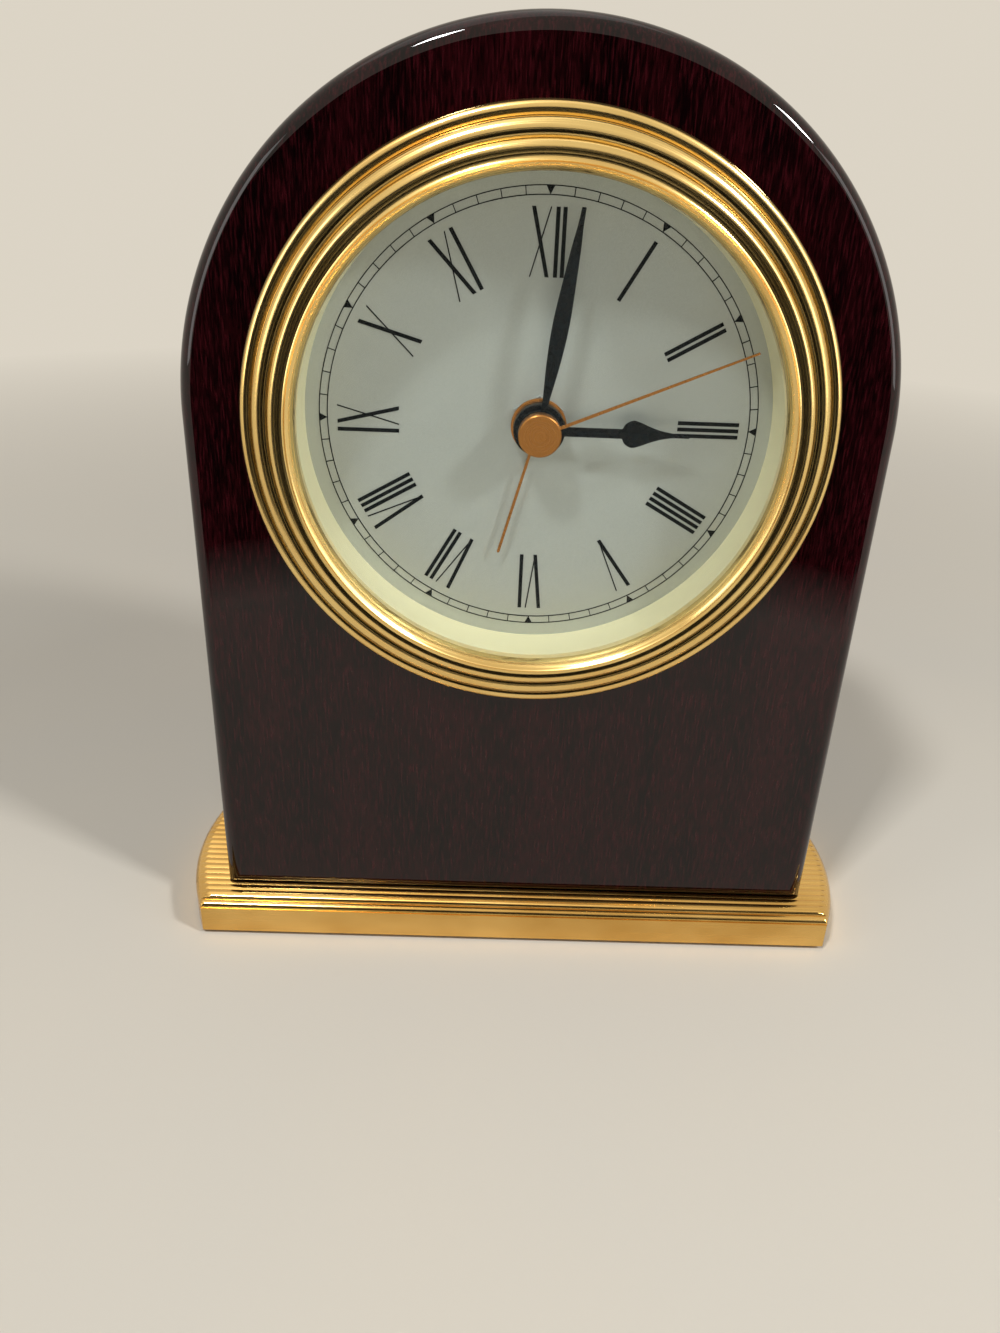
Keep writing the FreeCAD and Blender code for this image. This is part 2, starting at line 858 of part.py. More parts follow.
def rear_cover():
    """Round cover with the battery tray, holes for the arbors, screws, sound and switch."""
    cover = rod(can_body_radius - can_play, cover_inside, cover_back)
    half = tray_length / 2
    outer = block(
        -half - tray_wall,
        half + tray_wall,
        tray_floor_back,
        cover_inside,
        tray_low - tray_wall,
        tray_high + tray_wall,
    )
    cavity = block(-half, half, tray_floor_back + tray_wall, cover_back + cut_over, tray_low, tray_high)
    cover = cover.fuse(outer).cut(cavity)
    pin_hole = Part.makeCylinder(
        hinge_pin_radius + hinge_play,
        tray_length + 2 * hinge_pin_length,
        point(-half - hinge_pin_length, hinge_back, hinge_up),
        V(1, 0, 0),
    )
    cover = cover.cut(pin_hole)
    for place in lug_places():
        cover = cover.cut(rod(cover_screw_radius + screw_play, cover_inside, cover_back, place))
        seat = rod(
            cover_screw_head + screw_play,
            cover_back - cover_screw_head_height,
            cover_back + cut_over,
            place,
        )
        cover = cover.cut(seat)
    for place in (time_set_place, alarm_set_place):
        hole = rod(set_arbor_radius + set_arbor_play, cover_inside, cover_back, place)
        cover = cover.cut(hole)
    for index in range(sound_hole_count):
        x, up = radial(sound_hole_ring, index * 360.0 / sound_hole_count)
        place = (x - buzzer_left, up + buzzer_up)
        cover = cover.cut(rod(sound_hole_radius, cover_inside, cover_back, place))
    cover = cover.cut(rod(sound_hole_radius, cover_inside, cover_back, (-buzzer_left, buzzer_up)))
    slot = block(
        -switch_slot_half,
        switch_slot_half,
        cover_inside,
        cover_back,
        switch_height - switch_stem_height / 2 - switch_play,
        switch_height + switch_stem_height / 2 + switch_play,
    )
    cover = cover.cut(slot)
    rail_front = cover_inside - switch_plate_thickness - switch_play
    for side in (-1, 1):
        edge = switch_height + side * (switch_plate_height / 2 + switch_play)
        low = min(edge, edge + side * switch_rib)
        rail = block(
            -switch_plate_width / 2,
            switch_plate_width / 2,
            rail_front,
            cover_inside,
            low,
            low + switch_rib,
        )
        cover = cover.fuse(rail)
    save("rear_cover", cover.removeSplitter())


def cover_screws():
    """Three small screws that hold the rear cover in the can."""
    screws = []
    for place in lug_places():
        head_front = cover_back - cover_screw_head_height
        head = rod(cover_screw_head, head_front, cover_back, place)
        shank = rod(cover_screw_radius, cover_back - cover_screw_length, head_front, place)
        slot_front = cover_back - screw_slot_depth / 2
        slot = block(
            place[0] - cover_screw_head,
            place[0] + cover_screw_head,
            slot_front,
            cover_back + cut_over,
            place[1] - screw_slot_width / 2,
            place[1] + screw_slot_width / 2,
        )
        across = block(
            place[0] - screw_slot_width / 2,
            place[0] + screw_slot_width / 2,
            slot_front,
            cover_back + cut_over,
            place[1] - cover_screw_head,
            place[1] + cover_screw_head,
        )
        screws.append(head.cut(slot).cut(across).fuse(shank))
    save("cover_screws", Part.makeCompound(screws))


def battery_door():
    """Door that turns on two pins at its lower edge, with a thumb notch near the upper one."""
    half = tray_length / 2 - door_play
    front = cover_back - door_thickness
    plate = block(-half, half, front, cover_back, hinge_up, tray_high - door_play)
    rounded = Part.makeCylinder(
        door_thickness / 2, 2 * half, point(-half, hinge_back, hinge_up), V(1, 0, 0)
    )
    pin = Part.makeCylinder(
        hinge_pin_radius,
        2 * (half + hinge_pin_length),
        point(-half - hinge_pin_length, hinge_back, hinge_up),
        V(1, 0, 0),
    )
    door = plate.fuse(rounded).fuse(pin)
    notch = rod(
        door_grip_radius,
        cover_back - door_grip_depth,
        cover_back + cut_over,
        (0, tray_high - door_grip_radius - door_play),
    )
    save("battery_door", door.cut(notch).removeSplitter())


def battery_centre():
    """Point on the battery's axis above the middle of the tray."""
    return tray_floor_back + tray_wall + battery_radius + shaft_play


def battery():
    """Slim round cell with its positive nub to the right."""
    right = tray_length / 2 - contact_plate - battery_nub_length
    body = Part.makeCylinder(
        battery_radius,
        battery_length,
        point(right - battery_length, battery_centre(), -battery_drop),
        V(1, 0, 0),
    )
    nub = Part.makeCylinder(
        battery_nub_radius,
        battery_nub_length,
        point(right, battery_centre(), -battery_drop),
        V(1, 0, 0),
    )
    save("battery", body.fuse(nub))


def battery_contacts():
    """Plain plate at the nub, and a plate with a bowed spring at the flat end."""
    half = tray_length / 2
    front = battery_centre() - contact_height / 2
    back = battery_centre() + contact_height / 2
    low = -battery_drop - contact_width / 2
    high = -battery_drop + contact_width / 2
    save("positive_contact", block(half - contact_plate, half, front, back, low, high))
    cell_end = half - contact_plate - battery_nub_length - battery_length
    plate = block(-half, -half + contact_plate, front, back, low, high)
    foot = -half + contact_plate
    bow = chain(
        point(foot, front, low),
        [
            (point(cell_end, battery_centre(), low), point(foot, back, low)),
            point(foot, back - contact_plate, low),
            (
                point(cell_end - contact_plate, battery_centre(), low),
                point(foot, front + contact_plate, low),
            ),
        ],
    )
    save("negative_contact", plate.fuse(bow.extrude(V(0, 0, contact_width))))


def front_plate():
    """Round movement plate behind the dial, with the bush for the hands and the board's posts."""
    front = dial_thickness
    back = front + front_plate_thickness
    plate = rod(can_body_radius - front_plate_play, front, back)
    plate = plate.fuse(rod(bush_radius, -bush_front, front))
    hole = rod(alarm_tube_radius + shaft_play, -bush_front - cut_over, back + cut_over)
    plate = plate.cut(hole)
    for x, up in board_post_places():
        plate = plate.fuse(rod(board_post_radius, back, board_back, (x, up)))
    save("front_plate", plate)


def board_post_places():
    """Places of the two posts that carry the circuit board."""
    right = board_left + board_width
    return (
        (board_left + board_post_inset, board_low + board_post_inset),
        (right - board_post_inset, board_low + board_height - board_post_inset),
    )


def hexagon(flats):
    """Outline of a hexagon of this width across flats."""
    corner = flats / math.sqrt(3)
    return [radial(corner, index * 60) for index in range(6)]


def dial_nut():
    """Flat hexagon nut that clamps the dial to the front plate."""
    nut = flat(hexagon(nut_flats), -nut_height, nut_height)
    hole = rod(bush_radius + nut_play, -nut_height - cut_over, cut_over)
    save("dial_nut", nut.cut(hole))


def plate_outline(front, thickness):
    """Rectangular movement plate that takes in the pillars."""
    return block(plate_left, plate_right, front, front + thickness, plate_low, plate_high)


def middle_plate():
    """Plate between the hand work and the running train."""
    plate = plate_outline(middle_plate_back, middle_plate_thickness)
    back = middle_plate_back + middle_plate_thickness
    holes = [rod(minute_tube_radius + shaft_play, middle_plate_back, back)]
    for place in (time_set_place, alarm_set_place):
        holes.append(rod(set_arbor_radius + set_arbor_play, middle_plate_back, back, place))
    for place in pillar_places:
        holes.append(rod(pillar_radius + shaft_play, middle_plate_back, back, place))
    for place in (third_place, intermediate_place, rotor_place):
        holes.append(rod(arbor_radius + pivot_play, middle_plate_back, back, place))
    stud = rod(arbor_radius, hour_wheel_back - leaf_gap, middle_plate_back, reduction_place)
    save("middle_plate", plate.cut(Part.makeCompound(holes)).fuse(stud))


def train_plate():
    """Rear plate of the train, with bosses that carry the stator."""
    plate = plate_outline(train_plate_back, train_plate_thickness)
    back = train_plate_back + train_plate_thickness
    holes = [rod(second_arbor_radius + pivot_play, train_plate_back, back)]
    for place in (time_set_place, alarm_set_place):
        holes.append(rod(set_arbor_radius + set_arbor_play, train_plate_back, back, place))
    for place in (third_place, intermediate_place, rotor_place):
        holes.append(rod(arbor_radius + pivot_play, train_plate_back, back, place))
    for place in pillar_places:
        holes.append(rod(plate_screw_radius + screw_play, train_plate_back, back, place))
    plate = plate.cut(Part.makeCompound(holes))
    stator_rear = stator_back + stator_thickness
    for x in (yoke_left + leg_width / 2, yoke_right - leg_width / 2):
        boss = rod(pillar_radius, stator_rear, train_plate_back, (x, rotor_place[1]))
        plate = plate.fuse(boss)
    save("train_plate", plate)


def plate_pillars():
    """Four pillars from the front plate to the train plate, drilled for their screws."""
    front = dial_thickness + front_plate_thickness
    pillars = []
    for place in pillar_places:
        pillar = rod(pillar_radius, front, train_plate_back, place)
        drill = rod(
            plate_screw_radius + shaft_play,
            train_plate_back - plate_screw_length,
            train_plate_back,
            place,
        )
        pillars.append(pillar.cut(drill))
    save("plate_pillars", Part.makeCompound(pillars))


def plate_screws():
    """Four low-headed screws in the pillars."""
    back = train_plate_back + train_plate_thickness
    screws = []
    for place in pillar_places:
        head = rod(plate_screw_head, back, back + plate_screw_head_height, place)
        shank = rod(plate_screw_radius, back - plate_screw_length, back, place)
        screws.append(head.fuse(shank))
    save("plate_screws", Part.makeCompound(screws))


def stator():
    """Soft-iron yoke round the rotor magnet, with two legs up to the coil's core."""
    back = stator_back + stator_thickness
    low = rotor_place[1] - yoke_half_height
    high = core_height + core_width / 2
    yoke = block(yoke_left, yoke_right, stator_back, back, low, rotor_place[1] + yoke_half_height)
    left_leg = block(yoke_left, yoke_left + leg_width, stator_back, back, low, high)
    right_leg = block(yoke_right - leg_width, yoke_right, stator_back, back, low, high)
    plate = yoke.fuse(left_leg).fuse(right_leg).removeSplitter()
    hole = rod(magnet_radius + stator_gap, stator_back, back, rotor_place)
    save("stator", plate.cut(hole))


def coil():
    """Iron core across the legs, with the bobbin and its copper winding."""
    core_front = stator_back - stator_thickness
    core_centre = core_front + stator_thickness / 2
    half = core_width / 2
    core = block(yoke_left, yoke_right, core_front, stator_back, core_height - half, core_height + half)
    save("coil_core", core)
    left = yoke_left + leg_width + bobbin_side_gap
    right = yoke_right - leg_width - bobbin_side_gap
    start = point(left, core_centre, core_height)
    along = V(1, 0, 0)
    tube_radius = math.hypot(half, stator_thickness / 2) + bobbin_tube_wall
    sleeve = Part.makeCylinder(tube_radius, right - left, start, along)
    cheeks = [
        Part.makeCylinder(bobbin_radius, bobbin_cheek, point(x, core_centre, core_height), along)
        for x in (left, right - bobbin_cheek)
    ]
    bobbin = sleeve.fuse(cheeks[0]).fuse(cheeks[1])
    channel = block(
        left,
        right,
        core_front - shaft_play,
        stator_back + shaft_play,
        core_height - half - shaft_play,
        core_height + half + shaft_play,
    )
    save("coil_bobbin", bobbin.cut(channel))
    wound_left = left + bobbin_cheek
    wound_length = right - left - 2 * bobbin_cheek
    wound = point(wound_left, core_centre, core_height)
    winding = Part.makeCylinder(winding_radius, wound_length, wound, along)
    save("coil_winding", winding.cut(Part.makeCylinder(tube_radius, wound_length, wound, along)))


def circuit():
    """Board on its two posts, with the chip and the quartz can."""
    board_rear = board_back + board_thickness
    board = block(
        board_left, board_left + board_width, board_back, board_rear, board_low, board_low + board_height
    )
    save("circuit_board", board)
    middle = board_left + board_width / 2
    chip_low = board_low + board_post_inset
    chip = block(
        middle - chip_size / 2,
        middle + chip_size / 2,
        board_rear,
        board_rear + chip_thickness,
        chip_low,
        chip_low + chip_size,
    )
    save("chip", chip)
    quartz_up = chip_low + chip_size + 2 * quartz_radius
    quartz_start = point(middle - quartz_length / 2, board_rear + quartz_radius, quartz_up)
    save("quartz_resonator", Part.makeCylinder(quartz_radius, quartz_length, quartz_start, V(1, 0, 0)))


def buzzer():
    """Round sounder against the cover, behind its sound holes."""
    place = (-buzzer_left, buzzer_up)
    save("buzzer", rod(buzzer_radius, cover_inside - buzzer_thickness, cover_inside, place))


def alarm_contact():
    """Leaf that stands on the middle plate and reaches in behind the hour wheel."""
    front = hour_wheel_back + wheel_thickness + leaf_gap
    back = front + leaf_thickness
    outer = pillar_side - leaf_width
    top = leaf_reach + leaf_width
    leaf = block(leaf_reach, outer, front, back, leaf_reach, top)
    post = block(outer - leaf_width, outer, back, middle_plate_back, leaf_reach, top)
    save("alarm_contact", leaf.fuse(post))


def hub_hole(radius, front, back):
    """Cutter for a hub that slides on a tube of this radius."""
    return rod(radius, front - cut_over, back + cut_over)


def alarm_work():
    """Alarm wheel with its tube, and the slim alarm hand on the tube's end."""
    toward = 90.0
    wheel = gear(alarm_teeth, alarm_module, alarm_wheel_back, hub, toward)
    wheel = crossed_out(wheel, alarm_teeth, alarm_module, alarm_wheel_back, hub)
    body = rod(alarm_tube_radius, -alarm_hub_front, alarm_wheel_back + wheel_thickness)
    bore = alarm_tube_radius - tube_wall
    cutter = hub_hole(bore, -alarm_hub_front, alarm_wheel_back + wheel_thickness)
    save("alarm_wheel", wheel.fuse(body).cut(cutter))
    back = -alarm_hub_front + alarm_hub_thickness
    disc = rod(alarm_hub_radius, -alarm_hub_front, back)
    half = alarm_hand_width / 2
    shoulder = alarm_hand_length - half
    outline = [(-half, 0), (half, 0), (half, shoulder), (0, alarm_hand_length), (-half, shoulder)]
    pointer = flat(outline, -alarm_hub_front, alarm_hub_thickness / 2, alarm_angle)
    hand = disc.fuse(pointer).cut(hub_hole(alarm_tube_radius, -alarm_hub_front, back))
    save("alarm_hand", hand)


def hand_outline(length, width, shares):
    """Smooth blade outline from a table of shares, as two sides that meet at the tip."""
    right = [V(share_w * width / 2, 0, share_l * length) for share_l, share_w in shares]
    left = [V(-p.x, 0, p.z) for p in reversed(right)]
    return right, left


def blade(length, width, shares, root_width, tip_width, front, angle):
    """Hand blade: straight root, curved sides, blunt tip."""
    right, left = hand_outline(length, width, shares)
    sides = Part.BSplineCurve()
    sides.interpolate(right)
    others = Part.BSplineCurve()
    others.interpolate(left)
    root_right = V(root_width / 2, 0, 0)
    root_left = V(-root_width / 2, 0, 0)
    tip_right = V(tip_width / 2, 0, length)
    tip_left = V(-tip_width / 2, 0, length)
    edges = [Part.makeLine(root_left, root_right)]
    edges.append(Part.makeLine(root_right, right[0]))
    edges.append(sides.toShape())
    if (right[-1] - tip_right).Length > print_thickness:
        edges.append(Part.makeLine(right[-1], tip_right))
        edges.append(Part.makeLine(tip_right, tip_left))
        edges.append(Part.makeLine(tip_left, left[0]))
    else:
        edges.append(Part.makeLine(right[-1], left[0]))
    edges.append(others.toShape())
    edges.append(Part.makeLine(left[-1], root_left))
    plate = Part.Face(Part.Wire(Part.__sortEdges__(edges))).extrude(V(0, hand_thickness, 0))
    plate.rotate(V(0, 0, 0), V(0, 1, 0), angle)
    plate.translate(point(0, front, 0))
    return plate


def hour_work():
    """Hour wheel with its tube, and the spade hand on the tube's end."""
    toward = -90.0
    wheel = gear(hour_teeth, hour_module, hour_wheel_back, hub, toward)
    wheel_rear = hour_wheel_back + wheel_thickness
    body = rod(hour_tube_radius, -hour_hub_front, wheel_rear)
    cutter = hub_hole(hour_tube_radius - tube_wall, -hour_hub_front, wheel_rear)
    save("hour_wheel", wheel.fuse(body).cut(cutter))
    collar = rod(hour_hub_radius, -hour_hub_front, -hour_hub_back)
    spade = blade(
        hour_hand_length,
        hour_bulb_width,
        spade_shares,
        hour_rod_width,
        hour_neck_width,
        -hour_hub_front,
        hour_angle,
    )
    hand = collar.fuse(spade).cut(hub_hole(hour_tube_radius, -hour_hub_front, -hour_hub_back))
    save("hour_hand", hand)


def minute_work():
    """Cannon pinion with its tube, and the leaf hand on the tube's end."""
    toward = -90.0
    pinion = gear(cannon_teeth, cannon_module, cannon_wheel_back, hub, toward)
    tube_end = centre_wheel_back - shaft_play
    body = rod(minute_tube_radius, -minute_hub_front, tube_end)
    cutter = hub_hole(minute_tube_radius - tube_wall, -minute_hub_front, tube_end)
    save("cannon_pinion", pinion.fuse(body).cut(cutter))
    collar_back = -minute_hub_front + minute_hub_thickness
    collar = rod(minute_hub_radius, -minute_hub_front, collar_back)
    leaf = blade(
        minute_hand_length,
        minute_hand_width,
        leaf_shares,
        minute_hand_width * leaf_shares[0][1],
        minute_hand_width * leaf_shares[-1][1],
        -minute_hub_front,
        minute_angle,
    )
    hand = collar.fuse(leaf).cut(hub_hole(minute_tube_radius, -minute_hub_front, collar_back))
    save("minute_hand", hand)


def reduction_wheel():
    """Wheel and pinion between the cannon pinion and the hour wheel, free on its stud."""
    wheel = gear(
        reduction_teeth,
        cannon_module,
        cannon_wheel_back,
        reduction_place,
        gap_angle(reduction_teeth, 90.0),
    )
    pinion = gear(
        reduction_pinion_teeth,
        hour_module,
        hour_wheel_back,
        reduction_place,
        gap_angle(reduction_pinion_teeth, 90.0),
    )
    root = hour_module * (reduction_pinion_teeth / 2 - dedendum_share)
    neck = rod(root, hour_wheel_back + wheel_thickness, cannon_wheel_back, reduction_place)
    hole = rod(
        arbor_radius + pivot_play,
        hour_wheel_back - cut_over,
        cannon_wheel_back + wheel_thickness + cut_over,
        reduction_place,
    )
    save("reduction_wheel", wheel.fuse(neck).fuse(pinion).cut(hole))


def direction(place, other):
    """Clock angle of the direction from one place to another."""
    return math.degrees(math.atan2(other[0] - place[0], other[1] - place[1]))


def train_arbor(place):
    """Thin arbor whose ends turn in the middle plate and the train plate."""
    return rod(arbor_radius, pivot_front, pivot_back, place)


def centre_wheel():
    """Wheel behind the cannon pinion that drives it through a light friction face."""
    toward = direction(hub, third_place)
    wheel = gear(centre_teeth, centre_module, centre_wheel_back, hub, toward)
    wheel = crossed_out(wheel, centre_teeth, centre_module, centre_wheel_back, hub)
    back = centre_wheel_back + wheel_thickness
    save("centre_wheel", wheel.cut(hub_hole(second_arbor_radius + shaft_play, centre_wheel_back, back)))


def third_wheel():
    """Wheel and pinion that carry the second wheel's turn down to the centre wheel."""
    toward = direction(third_place, hub)
    wheel = gear(third_teeth, third_module, third_wheel_back, third_place, toward)
    wheel = crossed_out(wheel, third_teeth, third_module, third_wheel_back, third_place)
    phase = gap_angle(third_pinion_teeth, toward)
    pinion = gear(third_pinion_teeth, centre_module, centre_wheel_back, third_place, phase)
    save("third_wheel", train_arbor(third_place).fuse(wheel).fuse(pinion))


def second_wheel():
    """Second wheel and pinion on the long arbor that runs out to the second hand."""
    wheel = gear(second_teeth, second_module, second_wheel_back, hub, direction(hub, intermediate_place))
    wheel = crossed_out(wheel, second_teeth, second_module, second_wheel_back, hub)
    phase = gap_angle(second_pinion_teeth, direction(hub, third_place))
    pinion = gear(second_pinion_teeth, third_module, third_wheel_back, hub, phase)
    arbor = rod(second_arbor_radius, -cap_front + cap_wall, pivot_back)
    save("second_wheel", arbor.fuse(wheel).fuse(pinion))


def intermediate_wheel():
    """Wheel and pinion between the rotor and the second wheel."""
    place = intermediate_place
    toward = direction(place, rotor_place)
    wheel = gear(intermediate_teeth, rotor_module, intermediate_wheel_back, place, toward)
    phase = gap_angle(intermediate_pinion_teeth, direction(place, hub))
    pinion = gear(intermediate_pinion_teeth, second_module, second_wheel_back, place, phase)
    save("intermediate_wheel", train_arbor(place).fuse(wheel).fuse(pinion))


def rotor():
    """Rotor arbor with its pinion, and the round magnet that turns inside the stator."""
    phase = gap_angle(rotor_teeth, direction(rotor_place, intermediate_place))
    pinion = gear(rotor_teeth, rotor_module, intermediate_wheel_back, rotor_place, phase)
    save("rotor_pinion", train_arbor(rotor_place).fuse(pinion))
    back = magnet_back + magnet_thickness
    save("rotor_magnet", tube(magnet_radius, arbor_radius, magnet_back, back, rotor_place))


def second_work():
    """Brass cap with a bevelled face, and the thin second hand held under it."""
    front = -cap_front
    cap = lathe(
        (0, front),
        [
            (cap_radius - cap_edge, front),
            (cap_radius, front + cap_edge),
            (cap_radius, -cap_back),
            (cap_radius - cap_wall, -cap_back),
            (cap_radius - cap_wall, front + cap_wall),
            (0, front + cap_wall),
        ],
    )
    collar = tube(second_arbor_radius + tube_wall, second_arbor_radius, front + cap_wall, -cap_back)
    cap = cap.fuse(collar)
    half = second_hand_width / 2
    tip = second_tip_width / 2
    root = cap_radius - cap_wall / 2
    arm = flat(
        [(-half, root), (half, root), (tip, second_hand_length), (-tip, second_hand_length)],
        -second_hand_front,
        second_hand_thickness,
        second_angle,
    )
    save("second_cap", cap.cut(arm))
    save("second_hand", arm)


def set_arbors():
    """Two arbors with a pinion each, and the fluted knobs outside the cover."""
    knob_front = cover_back + knob_air
    knob_back = knob_front + knob_height
    arbor_front = dial_thickness + front_plate_thickness + knob_air
    arbor_back = knob_front + knob_height / 2
    time_pinion = gear(
        cannon_teeth, cannon_module, cannon_wheel_back, time_set_place, time_tooth_angle()
    )
    alarm_pinion = gear(
        alarm_set_teeth,
        alarm_module,
        alarm_wheel_back,
        alarm_set_place,
        gap_angle(alarm_set_teeth, -90.0),
    )
    for name, place, pinion in (
        ("time_set", time_set_place, time_pinion),
        ("alarm_set", alarm_set_place, alarm_pinion),
    ):
        arbor = rod(set_arbor_radius, arbor_front, arbor_back, place)
        save(name + "_arbor", arbor.fuse(pinion))
        knob = rod(knob_radius, knob_front, knob_back, place)
        for index in range(knob_flutes):
            x, up = radial(knob_radius + knob_flute_radius / 3, index * 360.0 / knob_flutes)
            flute = rod(
                knob_flute_radius,
                knob_front - cut_over,
                knob_back + cut_over,
                (place[0] + x, place[1] + up),
            )
            knob = knob.cut(flute)
        dish = rod(knob_dish_radius, knob_back - knob_dish_depth, knob_back + cut_over, place)
        socket = rod(set_arbor_radius, knob_front - cut_over, arbor_back, place)
        save(name + "_knob", knob.cut(dish).cut(socket))


def time_tooth_angle():
    """Tooth angle of the time pinion that fits the side of the reduction wheel facing it."""
    step = 360.0 / reduction_teeth
    first = gap_angle(reduction_teeth, 90.0)
    away = (-90.0 - first) % step
    share = away / step
    return 90.0 + (share + 0.5) * 360.0 / cannon_teeth


def alarm_switch():
    """Slider under the cover with a ribbed cap outside its slot, in its middle place at rest."""
    plate = block(
        -switch_plate_width / 2,
        switch_plate_width / 2,
        cover_inside - switch_plate_thickness - switch_play / 2,
        cover_inside - switch_play / 2,
        switch_height - switch_plate_height / 2,
        switch_height + switch_plate_height / 2,
    )
    cap_front = cover_back + switch_play
    stem = block(
        -switch_stem_width / 2,
        switch_stem_width / 2,
        cover_inside - switch_play,
        cap_front,
        switch_height - switch_stem_height / 2,
        switch_height + switch_stem_height / 2,
    )
    cap_rear = cap_front + switch_cap_thickness
    cap = block(
        -switch_cap_width / 2,
        switch_cap_width / 2,
        cap_front,
        cap_rear,
        switch_height - switch_cap_height / 2,
        switch_height + switch_cap_height / 2,
    )
    for index in (-1, 0, 1):
        centre = index * switch_cap_width / 3
        groove = block(
            centre - switch_rib / 2,
            centre + switch_rib / 2,
            cap_rear - switch_rib,
            cap_rear + cut_over,
            switch_height - switch_cap_height,
            switch_height + switch_cap_height,
        )
        cap = cap.cut(groove)
    save("alarm_switch", plate.fuse(stem).fuse(cap))


wood_case()
base_plate()
felt_sheet()
base_screws()
bezel()
crystal()
flange_ring()
dial()
dial_print()
insert_can()
grip_band()
rear_cover()
cover_screws()
battery_door()
battery()
battery_contacts()
front_plate()
dial_nut()
middle_plate()
train_plate()
plate_pillars()
plate_screws()
stator()
coil()
circuit()
buzzer()
alarm_contact()
alarm_work()
hour_work()
minute_work()
reduction_wheel()
centre_wheel()
third_wheel()
second_wheel()
intermediate_wheel()
rotor()
second_work()
set_arbors()
alarm_switch()
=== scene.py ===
"""Arched shelf clock: lacquered case, gilt base and bezel, dial, hands and the rear fittings."""

from math import asin, atan2, hypot, pi, radians, sqrt, tau

import bmesh
import bpy
from bpy.props import FloatProperty, FloatVectorProperty, IntProperty, PointerProperty
from mathutils import Matrix, Vector


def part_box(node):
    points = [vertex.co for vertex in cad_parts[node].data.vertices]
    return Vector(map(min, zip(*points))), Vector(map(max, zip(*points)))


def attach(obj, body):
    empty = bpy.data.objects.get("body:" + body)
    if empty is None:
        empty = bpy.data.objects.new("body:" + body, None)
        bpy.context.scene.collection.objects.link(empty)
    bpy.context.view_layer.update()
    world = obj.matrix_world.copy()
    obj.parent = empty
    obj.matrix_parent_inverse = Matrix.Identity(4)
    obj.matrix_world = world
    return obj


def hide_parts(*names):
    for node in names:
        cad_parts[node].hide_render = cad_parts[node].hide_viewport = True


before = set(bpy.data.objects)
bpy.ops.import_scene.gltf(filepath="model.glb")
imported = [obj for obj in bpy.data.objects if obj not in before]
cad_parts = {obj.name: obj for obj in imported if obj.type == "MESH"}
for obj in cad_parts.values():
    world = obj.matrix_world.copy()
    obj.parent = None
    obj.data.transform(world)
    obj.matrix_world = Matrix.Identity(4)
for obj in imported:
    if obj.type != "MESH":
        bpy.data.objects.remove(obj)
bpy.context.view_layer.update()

bl_info = {
    "name": "Arched shelf clock",
    "version": (1, 0, 0),
    "blender": (4, 5, 0),
    "location": "View3D > Sidebar > Clock",
    "description": "Dresses the arched shelf clock with its case, mouldings, dial and finishes",
    "category": "Object",
}

# Points nearer than WELD are one point. HUB is on the dial's axis, and DIAL_FACE is the depth of
# the dial's face. ROOM_COLOUR and ROOM_LEVEL are the room as the camera sees it.
MM = 0.001
WELD = 0.002 * MM
HUB = Vector((0, 0, 84.7 * MM))
DIAL_FACE = -6.8 * MM
CASE_LOW, CASE_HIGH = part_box("wood_case")
BASE_LOW, BASE_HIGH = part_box("base_plate")
FELT_LOW, FELT_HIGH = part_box("felt_sheet")
BEZEL_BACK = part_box("bezel")[1].y
GLASS_LOW, GLASS_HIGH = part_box("crystal")
RING_LOW, RING_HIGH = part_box("flange_ring")
AXIS_Y = (0, 1, 0)
AXIS_Z = (0, 0, 1)
ROOM_COLOUR = "#e4dccd"
ROOM_LEVEL = 0.92


def linear(colour):
    """Linear RGBA from an sRGB hex value."""
    parts = [int(colour[place:place + 2], 16) / 255 for place in (1, 3, 5)]
    return [p / 12.92 if p <= 0.04045 else ((p + 0.055) / 1.055) ** 2.4 for p in parts] + [1.0]


def length(name, about, default):
    """A size that the user may change, given in millimetres."""
    return FloatProperty(
        name=name,
        description=about,
        default=default * MM,
        min=0.0,
        max=0.5,
        unit="LENGTH",
        precision=5,
    )


def level(name, about, default, most):
    """A plain number that the user may change, from nought up."""
    return FloatProperty(name=name, description=about, default=default, min=0.0, max=most)


def steps(name, about, default, least):
    """A number of facets that the user may change."""
    return IntProperty(name=name, description=about, default=default, min=least)


def tint(name, about, default):
    """A colour that the user may change, given as an sRGB hex value."""
    return FloatVectorProperty(
        name=name,
        description=about,
        default=linear(default),
        size=4,
        min=0.0,
        max=1.0,
        subtype="COLOR",
    )


class CaseSizes(bpy.types.PropertyGroup):
    edge_round: length("Edge rounding", "Rounding of the front and back edges", 2.4)
    bore_radius: length("Bore", "Radius of the bore that takes the insert", 36.4)
    bore_round: length("Bore rounding", "Rounding of the bore's rear edge", 0.6)
    arch_steps: steps("Arch steps", "Facets over the arch", 128, 24)


class BaseSizes(bpy.types.PropertyGroup):
    end_radius: length("End radius", "Plan radius of the two rounded ends", 41.0)
    ledge: length("Ledge height", "Height of the ledge above the floor", 5.3)
    reed_pitch: length("Reed pitch", "Distance between the grooves on the top", 1.4)
    reed_depth: length("Reed depth", "Depth of the grooves on the top", 0.26)
    felt_round: length("Felt rounding", "Rounding of the felt's cut edge", 0.25)


class BezelSizes(bpy.types.PropertyGroup):
    outer: length("Outer radius", "Radius of the rim that lies on the case", 40.0)
    lip: length("Lip radius", "Radius of the inner lip over the glass", 32.4)
    bead: level("Bead roundness", "Rise of each bead as a share of its width", 0.3, 0.5)
    cove: level("Cove roundness", "Depth of the cove as a share of its width", 0.22, 0.5)
    turn_steps: steps("Turning steps", "Facets round the ring", 256, 48)


